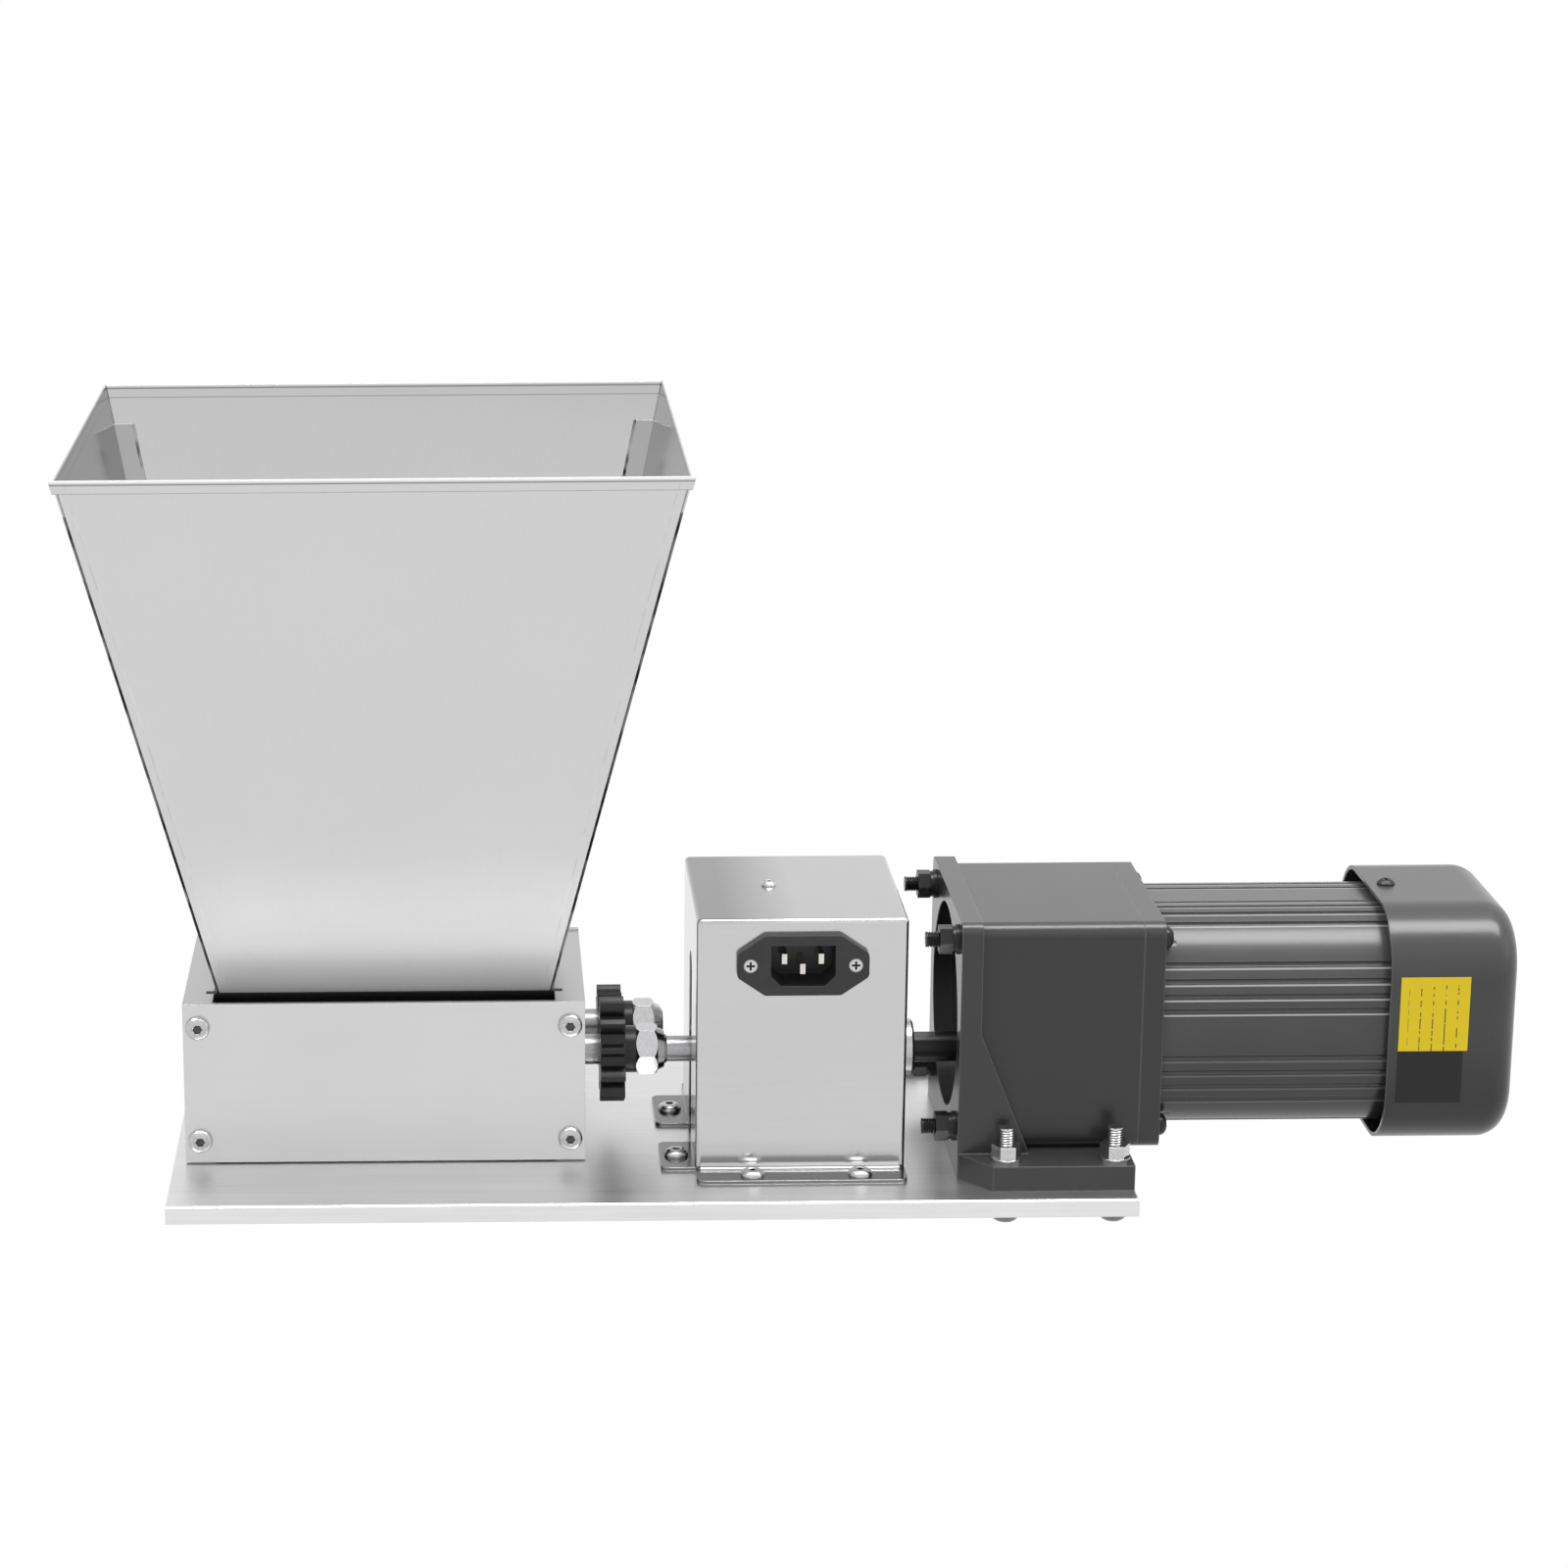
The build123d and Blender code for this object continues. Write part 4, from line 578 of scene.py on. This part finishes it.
finishes = {
    "base_aluminium": brushedPlate(),
    "mill_steel": millSteel(),
    "hopper_steel": hopperSteel("hopperSteel", "back"),
    "cover_steel": coverSteel(),
    "roller_steel": plated("rollerSteel", (0.42, 0.42, 0.43), 0.32),
    "bright_zinc": plated("brightZinc", (0.6, 0.6, 0.61), 0.2),
    "stainless_screw": plated("stainlessScrew", (0.55, 0.55, 0.55), 0.24),
    "black_steel": plated("blackSteel", (0.016, 0.016, 0.017), 0.3, 0.4, 0.4),
    "dark_cast": darkPaint(),
    "fan_cover_paint": darkPaint("fanCoverPaint", 0.034, 0.8, 0.0),
    "black_plastic": moulded("blackPlastic", (0.012, 0.012, 0.013), 0.38),
    "pin_metal": plated("pinMetal", (0.75, 0.72, 0.66), 0.25, 0.2),
    "bush_bronze": plated("bushBronze", (0.5, 0.34, 0.16), 0.42),
    "bearing_steel": plated("bearingSteel", (0.6, 0.6, 0.61), 0.25),
    "gear_steel": plated("gearSteel", (0.42, 0.42, 0.43), 0.34),
    "lamination": laminated(),
    "copper": woundCopper(),
    "lead_black": moulded("leadBlack", (0.014, 0.014, 0.015), 0.5, 0.6),
    "coupling_aluminium": plated("couplingAluminium", (0.6, 0.6, 0.61), 0.3),
}
ownFinishes = {
    "hopper_front_panel": hopperSteel("hopperFrontSteel", "front"),
    "hopper_left_panel": hopperSteel("hopperEndSteel", "end"),
    # painted shadow: the grain guides nearly black, where the gap in front of the hopper foot lies in shade
    "front_grain_guide": plated("paintedShadowSteel", (0.03, 0.03, 0.03), 0.5),
    "motor_housing": darkPaint("housingPaint", 0.046, 0.4, 0.1, True),
    "motor_bracket": darkPaint("bracketPaint", 0.026),
    "mains_inlet_screws": crossHeads("mains_inlet_screws"),
    "pan_head_screws": panHeads(),
    "motor_labels": ratingLabel(),
}
print("finishes made:", len(finishes) + len(ownFinishes))
ownFinishes["hopper_right_panel"] = ownFinishes["hopper_left_panel"]
ownFinishes["back_grain_guide"] = ownFinishes["front_grain_guide"]


def finishOf(nodeName):
    # a node's own finish if it has one, else its slot's
    return ownFinishes[nodeName] if nodeName in ownFinishes else finishes[slotOf[nodeName]]


for nodeName in slotOf:
    surface = nodes[nodeName].data.materials
    surface.clear()
    surface.append(finishOf(nodeName))


def ringPoints(along, radius, angles, hollow):
    # one grid of points round X: (along, radius * cos angle, radius * sin angle), and each one's darkening:
    # painted shade on pieces, the dark colour on the label
    across, up = radius * np.cos(angles), radius * np.sin(angles)
    return np.stack([along + 0 * across, across, up, hollow + 0 * across], axis=-1)


def lathe(steps, sides, corners=0):
    # rings of (along, radius, how much of the radius is a polygon's, painted shade);
    # radius = share * polygon + (1 - share) * circle
    steps = np.array([(*step, 0.0, 0.0)[:4] for step in steps])
    angles = np.linspace(0, 2 * math.pi, sides, endpoint=False)[None, :]
    along, radius, share, hollow = (steps[:, [column]] for column in range(4))
    outline = 1.0 + 0 * angles
    if corners:
        span = 2 * math.pi / corners
        outline = 1 / np.cos((angles % span) - span / 2)
    return ringPoints(along, radius * (1 - share + share * outline), angles, hollow)


# the last entry: the share of painted shade in the thread grooves
threadForm = {"ringsPerTurn": 8, "peak": 1.15, "slope": 1.3, "hollow": 0.9}


def threadRings(start, end, radius, pitch, depth, sides):
    # a screw thread: radius - depth * groove, where groove is a triangle wave of (along / pitch - angle / turn)
    # with its crest and root cut flat, fading out over the first and the last pitch
    rings = int(round((end - start) / pitch * threadForm["ringsPerTurn"])) + 1
    angles = np.linspace(0, 2 * math.pi, sides, endpoint=False)[None, :]
    along = np.linspace(start, end, rings)[:, None]
    phase = (along / pitch - angles / (2 * math.pi)) % 1
    groove = np.clip(threadForm["peak"] - np.abs(2 * phase - 1) * threadForm["slope"], 0, 1)
    groove = groove * np.clip((end - along) / pitch, 0, 1) * np.clip((along - start) / pitch, 0, 1)
    return ringPoints(along, radius - depth * groove, angles, groove * threadForm["hollow"])


def turnTo(grid, axis, centre):
    # from along X to the wanted axis, then to its place; each turn keeps the faces outward
    x, y, z, hollow = np.moveaxis(grid, -1, 0)
    turned = {
        "+X": (x, y, z),
        "+Y": (-y, x, z),
        "-Y": (y, -x, z),
        "+Z": (-z, y, x),
        "-Z": (z, y, -x),
    }
    return np.stack([*turned[axis], hollow], axis=-1) + np.array([*centre, 0.0])


def makePiece(name, grids, nodeName):
    # each grid is rings of points in millimetres, closed round and at both ends; all go into one mesh,
    # which stands in for a node and takes its finish and its body
    points, faces, sizes = [], [], []
    base = 0
    for grid in grids:
        rings, sides, _ = grid.shape
        ends = np.stack([grid[0].mean(axis=0), grid[-1].mean(axis=0)])
        points.append(np.concatenate([grid.reshape(-1, 4), ends]))
        index = np.arange(rings * sides).reshape(rings, sides) + base
        after = np.roll(index, -1, axis=1)
        quads = np.stack([index[:-1], after[:-1], after[1:], index[1:]], axis=-1)
        pole = np.full(sides, base + rings * sides)
        startFan = np.stack([pole, after[0], index[0]], axis=-1)
        endFan = np.stack([pole + 1, index[-1], after[-1]], axis=-1)
        faces += [quads.ravel(), startFan.ravel(), endFan.ravel()]
        sizes += [np.full((rings - 1) * sides, 4), np.full(2 * sides, 3)]
        base += rings * sides + 2
    points = np.concatenate(points)
    faces = np.concatenate(faces)
    sizes = np.concatenate(sizes)
    mesh = bpy.data.meshes.new(name)
    mesh.vertices.add(len(points))
    mesh.vertices.foreach_set("co", (points[:, :3] * mm).ravel())
    mesh.loops.add(len(faces))
    mesh.loops.foreach_set("vertex_index", faces)
    mesh.polygons.add(len(sizes))
    mesh.polygons.foreach_set("loop_start", np.concatenate([[0], np.cumsum(sizes)[:-1]]))
    mesh.polygons.foreach_set("loop_total", sizes)
    # per point: painted shade in threads, sockets, knurl valleys and under the plate; on the label sheets, the
    # dark label's own colour
    hollow = mesh.attributes.new("hollow", "FLOAT", "POINT")
    hollow.data.foreach_set("value", points[:, 3].copy())
    mesh.update(calc_edges=True)
    mesh.validate()
    mesh.set_sharp_from_angle(angle=math.radians(35))
    piece = bpy.data.objects.new(name, mesh)
    bpy.context.scene.collection.objects.link(piece)
    mesh.materials.append(finishOf(nodeName))
    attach(piece, bodyOf[nodeName])
    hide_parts(nodeName)
    print("piece made:", name, len(sizes), "faces")


roller = {
    "diameter": 30.4,
    "sideGap": 1.0,  # from the barrel to each end block
    "journal": 12.0,
    "input": 10.0,  # the drive roller's end in the coupling
    "chamfer": 0.8,
    "centreHole": 2.0,
    "knurls": 46,
    "knurlPitch": 2.1,
    "knurlDepth": 0.5,
    "knurlFade": 1.5,
    "knurlSlope": 2.2,
    "sides": 230,
    "rings": 280,
}


def knurledRings(start, end):
    # diamond knurl: radius - depth * (1 - lower of two triangle waves that wind opposite ways)
    angles = np.linspace(0, 2 * math.pi, roller["sides"], endpoint=False)[None, :]
    along = np.linspace(start, end, roller["rings"])[:, None]
    turn = angles / (2 * math.pi) * roller["knurls"]
    slant = along / roller["knurlPitch"]
    waves = [np.abs(2 * ((turn + way * slant) % 1) - 1) for way in (-1, 1)]
    peak = np.clip(np.minimum(*waves) * roller["knurlSlope"], 0, 1)
    ends = np.clip(np.minimum(along - start, end - along) / roller["knurlFade"], 0, 1)
    low = 1 - peak * ends
    # painted shade in the knurl's valleys
    return ringPoints(along, roller["diameter"] / 2 - roller["knurlDepth"] * low, angles, low * 0.6)


def makeRoller(name, inputEnd):
    # a knurled barrel between two plain journals with a small centre hole in each end face;
    # the drive roller has a thinner end for the coupling
    _, y, z = middleOf(name)
    x0, x1 = lowOf(name)[0], highOf(name)[0]
    left = highOf("mill_left_block")[0] + roller["sideGap"]
    right = lowOf("mill_right_block")[0] - roller["sideGap"]
    nutEnd = highOf("drive_lock_nut")[0]
    sides, chamfer = roller["sides"], roller["chamfer"]
    journal = roller["journal"] / 2 - 0.01
    hole = roller["centreHole"] / 2
    foot, crest = (roller["diameter"] / 2 - drop for drop in (1.6, 0.6))
    start = [(x0 + 0.6, hole / 2), (x0, hole), (x0, journal - chamfer), (x0 + chamfer, journal)]
    start += [(left, journal), (left, foot), (left + 0.4, crest)]
    end = [(right - 0.4, crest), (right, foot), (right, journal), (nutEnd - 0.2, journal)]
    if inputEnd:
        thin = roller["input"] / 2
        end += [(nutEnd + 1, journal - 0.6), (nutEnd + 1, thin), (x1 - chamfer, thin), (x1, thin - chamfer)]
    else:
        end += [(x1 - chamfer, journal), (x1, journal - chamfer)]
    end += [(x1, hole), (x1 - 0.6, hole / 2)]
    grid = np.concatenate([lathe(start, sides), knurledRings(left + 0.5, right - 0.5), lathe(end, sides)])
    makePiece("knurled_" + name, [turnTo(grid, "+X", (0, y, z))], name)


makeRoller("drive_roller", True)
makeRoller("driven_roller", False)

dome = {
    "crown": 0.42,  # share of the radius
    "edge": 0.2,  # shares of the rise
    "socketFloor": 0.4,
    "bendRings": 9,
    "boltSides": 36,
    "screwSides": 30,
}


def domeSteps(diameter, rise, socket, base):
    # button head: an upright edge, a quarter ellipse from it to a small flat crown, then a hexagon socket
    # darkened by painted shade
    radius, mouth = diameter / 2, socket / 2
    crown = dome["crown"] * radius
    edge = rise * dome["edge"]
    top, floor = base + rise, base + rise * dome["socketFloor"]
    bend = np.linspace(0, math.pi / 2, dome["bendRings"])
    rim = zip(base + edge + (rise - edge) * np.sin(bend), crown + (radius - crown) * np.cos(bend))
    hexagon = [(top, mouth + 0.35, 1), (top - 0.3, mouth, 1, 0.5), (top - 0.5, mouth, 1, 1)]
    hexagon += [(floor, mouth, 1, 1), (floor - 0.5, 0.3, 0, 1)]
    return [(base, radius), *rim, *hexagon]


def solidBoxes(nodeName, axes, gap=4.0):
    # the box of every separate solid in a node: its points are split wherever a wide gap shows along an axis
    groups = [pointsOf(nodeName)]
    for axis in axes:
        split = []
        for group in groups:
            group = group[np.argsort(group[:, axis])]
            cuts = np.nonzero(np.diff(group[:, axis]) > gap)[0] + 1
            split += np.split(group, cuts)
        groups = split
    return [(group.min(axis=0), group.max(axis=0)) for group in groups]


footBolt = {
    "head": 12.0,
    "rise": 5.8,
    "collar": 14.0,
    "collarRise": 1.6,
    "socket": 4.0,
    "shank": 6.0,
    "pitch": 1.0,
    "threadDepth": 0.45,
    "underPlateShade": 0.8,  # how dark the painted shade makes the heads under the plate
}


def makeFootBolts(name):
    # a collared button head under the plate, a plain shank through it and a threaded end above it
    sides = dome["boltSides"]
    plateUnder = lowOf("base_plate")[2]
    end = plateUnder - highOf(name)[2]
    shank, collar, head = (footBolt[key] / 2 for key in ("shank", "collar", "head"))
    rise = footBolt["collarRise"]
    under = [(0.0, shank - 0.1), (0.0, collar - 0.4), (0.3, collar)]
    under += [(rise - 0.3, collar), (rise, collar - 0.3), (rise, head + 0.3)]
    under += domeSteps(footBolt["head"], footBolt["rise"], footBolt["socket"], rise)
    tip = lathe([(end, 1.0), (end, shank - 0.9)], sides)
    tail = threadRings(end, -footBolt["shank"], shank, footBolt["pitch"], footBolt["threadDepth"], sides)
    rest = lathe(under, sides, 6)
    # painted shade: heads and collars under the plate darkened
    rest[..., 3] = np.maximum(rest[..., 3], footBolt["underPlateShade"])
    bolt = np.concatenate([tip, tail, rest])
    grids = []
    for low, high in solidBoxes(name, [0, 1]):
        x, y = (low + high)[:2] / 2
        grids.append(turnTo(bolt, "-Z", (x, y, plateUnder)))
    makePiece("threaded_" + name, grids, name)


makeFootBolts("bracket_bolts")

frameBolt = {"head": 8.8, "rise": 3.6, "socket": 4.0, "shank": 6.0, "pitch": 1.0, "threadDepth": 0.45}


def makeFrameBolts(name):
    # black bolts through the motor flange, gearbox and bracket: button head at the right, thread at the left
    sides = dome["boltSides"]
    start = lowOf(name)[0]
    seat = highOf(name)[0] - frameBolt["rise"]
    face = lowOf("motor_bracket")[0]
    shank = frameBolt["shank"] / 2
    tip = lathe([(start, 1.0), (start, shank - 0.9)], sides)
    thread = threadRings(start, face, shank, frameBolt["pitch"], frameBolt["threadDepth"], sides)
    head = domeSteps(frameBolt["head"], frameBolt["rise"], frameBolt["socket"], seat)
    rest = lathe([(face + 0.5, shank - 0.05), (seat, shank - 0.05), *head], sides, 6)
    bolt = np.concatenate([tip, thread, rest])
    grids = []
    for low, high in solidBoxes(name, [1, 2]):
        y, z = (low + high)[1:] / 2
        grids.append(turnTo(bolt, "+X", (0, y, z)))
    makePiece("threaded_" + name, grids, name)


makeFrameBolts("gearbox_bolts")

buttonScrews = {
    "mill_panel_screws": {"axis": 1, "apartOn": (0, 2, 1), "gap": 20.0, "rise": 2.75, "socket": 3.0},
    "cover_screws": {"axis": 2, "apartOn": (0, 1), "gap": 4.0, "rise": 2.6, "socket": 2.5},
}
screwThread = {"pitch": 0.8, "depth": 0.35}


def screwShank(name, low, high, axis, end):
    # the shank's radius: half the spread along X of the points at the end away from the head
    points = pointsOf(name)
    inside = np.all((points > low - 0.1) & (points < high + 0.1), axis=1)
    tail = points[inside & (np.abs(points[:, axis] - end) < 0.6)]
    return np.ptp(tail[:, 0]) / 2


def makeButtonScrews(name):
    # round-headed screws with a dark hexagon socket: a domed head outside, a plain neck and a threaded end;
    # the panel screws face away from the mill's middle on both sides, the cover screws all face up
    look, sides = buttonScrews[name], dome["screwSides"]
    axis, rise = look["axis"], look["rise"]
    middle = middleOf("base_plate")[axis]
    grids = []
    for low, high in solidBoxes(name, look["apartOn"], look["gap"]):
        centre = (low + high) / 2
        outward = axis == 2 or centre[axis] > middle
        head = max(high[other] - low[other] for other in range(3) if other != axis)
        seat = high[axis] - low[axis] - rise
        centre[axis] = low[axis] if outward else high[axis]
        shank = screwShank(name, low, high, axis, centre[axis])
        tip = lathe([(0, 0.5), (0, shank - 0.5)], sides)
        thread = threadRings(0.3, seat - 0.6, shank, screwThread["pitch"], screwThread["depth"], sides)
        neck = [(seat - 0.4, shank - 0.02), (seat, shank - 0.02)]
        rest = lathe([*neck, *domeSteps(head, rise, look["socket"], seat)], sides, 6)
        way = ("+" if outward else "-") + "XYZ"[axis]
        grids.append(turnTo(np.concatenate([tip, thread, rest]), way, centre))
    makePiece("button_" + name, grids, name)


for screwNode in buttonScrews:
    makeButtonScrews(screwNode)

labelSheet = {
    "half": 47.0,  # the fan cover's half height and corner radius
    "corner": 24.0,
    "thickness": 0.2,
    "shiftX": -0.8,
    "raise": 0.8,
    "yellow": 29.4,
    "dark": 20.8,
    "apart": 0.2,
    "darkNarrower": 1.6,
    "rings": 24,
}


def makeLabels():
    # two thin sheets that follow the fan cover's front:
    # y = -half on the flat, and an arc of the corner's radius above and below it
    low, high = lowOf("motor_labels"), highOf("motor_labels")
    _, coverY, coverZ = middleOf("fan_cover")
    corner = labelSheet["corner"]
    straight = labelSheet["half"] - corner
    top = high[2] + labelSheet["raise"]
    middle = top - labelSheet["yellow"]
    x0, x1 = low[0] + labelSheet["shiftX"], high[0] + labelSheet["shiftX"]
    yellow = (middle, top, x1, 0.0)
    dark = (middle - labelSheet["dark"], middle - labelSheet["apart"], x1 - labelSheet["darkNarrower"], 1.0)
    grids = []
    for z0, z1, right, hollow in (yellow, dark):
        z = np.linspace(z0, z1, labelSheet["rings"])
        past = np.clip(np.abs(z - coverZ) - straight, 0, None)
        out = coverY - straight - np.sqrt(corner ** 2 - past ** 2) - labelSheet["thickness"]
        back = out + labelSheet["thickness"] * 1.5
        outline = [(x0, out), (right, out), (right, back), (x0, back)]
        sides = [np.stack([x + 0 * z, y, z, hollow + 0 * z], axis=-1) for x, y in outline]
        grids.append(np.stack(sides, axis=1))
    makePiece("label_sheets", grids, "motor_labels")


makeLabels()

floorLook = {"size": 40.0, "drop": 0.2, "level": 1.0}  # metres, millimetres, brightness


def makeFloor():
    # a flat square just under the mill that glows evenly, so no shadow falls on it
    half = floorLook["size"] / 2
    low = cadBox[0][2] - floorLook["drop"] * mm
    square = [(-half, -half, low), (half, -half, low), (half, half, low), (-half, half, low)]
    mesh = bpy.data.meshes.new("floor")
    mesh.from_pydata(square, [], [(0, 1, 2, 3)])
    floor = bpy.data.objects.new("floor", mesh)
    bpy.context.scene.collection.objects.link(floor)
    f = Finish("litFloor")
    f.set(Base_Color=(0, 0, 0), Roughness=1.0, Specular_IOR_Level=0.0)
    f.set(Emission_Color=(floorLook["level"],) * 3, Emission_Strength=1.0)
    mesh.materials.append(f.material)


def makeWorld():
    world = bpy.data.worlds.new("world")
    world.use_nodes = True
    back = world.node_tree.nodes["Background"]
    back.inputs[0].default_value = (1, 1, 1, 1)
    back.inputs[1].default_value = 1.0
    bpy.context.scene.world = world
    bpy.context.scene.view_settings.view_transform = "Standard"


# places, aims and sizes in metres; the gloss light shows only in what mirrors it
lights = {
    "topLight": {"place": (0, 0.2, 1.9), "aim": (0, 0, 0.1), "size": (2.2, 1.4), "power": 3},
    "glossLight": {"place": (0.1, -0.3, 2.0), "aim": (0.1, 0, 0.1), "size": (3.4, 0.8), "power": 80},
    "frontLight": {"place": (-0.5, -2.4, 1.2), "aim": (0, 0, 0.12), "size": (2.4, 1.2), "power": 2},
    "rightLight": {"place": (2.2, -0.6, 0.9), "aim": (0, 0, 0.12), "size": (1.2, 1.2), "power": 2},
}


def makeLight(name, light):
    data = bpy.data.lights.new(name, "AREA")
    data.shape = "RECTANGLE"
    data.size, data.size_y = light["size"]
    data.energy = light["power"]
    lamp = bpy.data.objects.new(name, data)
    bpy.context.scene.collection.objects.link(lamp)
    lamp.location = light["place"]
    direction = np.array(light["aim"], float) - np.array(light["place"], float)
    lamp.rotation_euler = Vector(direction).to_track_quat("-Z", "Y").to_euler()
    lamp.visible_diffuse = name != "glossLight"


viewPoint = {
    "fromPlateCorner": (117.1, -1411.0, 539.4),  # from the plate's front left upper corner
    "down": 14.89,
    "turned": 0.27,
    "rolled": -0.38,
    "lens": 91.4,
    "shiftRight": 0.1875,
}


def makeCamera():
    data = bpy.data.cameras.new("camera")
    data.lens = viewPoint["lens"]
    data.sensor_width = 36
    data.shift_x = viewPoint["shiftRight"]
    camera = bpy.data.objects.new("camera", data)
    bpy.context.scene.collection.objects.link(camera)
    low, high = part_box("base_plate")
    corner = (low[0], low[1], high[2])
    camera.location = [c + step * mm for c, step in zip(corner, viewPoint["fromPlateCorner"])]
    turn = Matrix.Rotation(math.radians(-viewPoint["turned"]), 4, "Z")
    tilt = Matrix.Rotation(math.radians(90 - viewPoint["down"]), 4, "X")
    roll = Matrix.Rotation(math.radians(viewPoint["rolled"]), 4, "Z")
    camera.rotation_euler = (turn @ tilt @ roll).to_euler()
    bpy.context.scene.camera = camera


makeFloor()
makeWorld()
for lightName, light in lights.items():
    makeLight(lightName, light)
makeCamera()
print("floor, lights and camera placed")
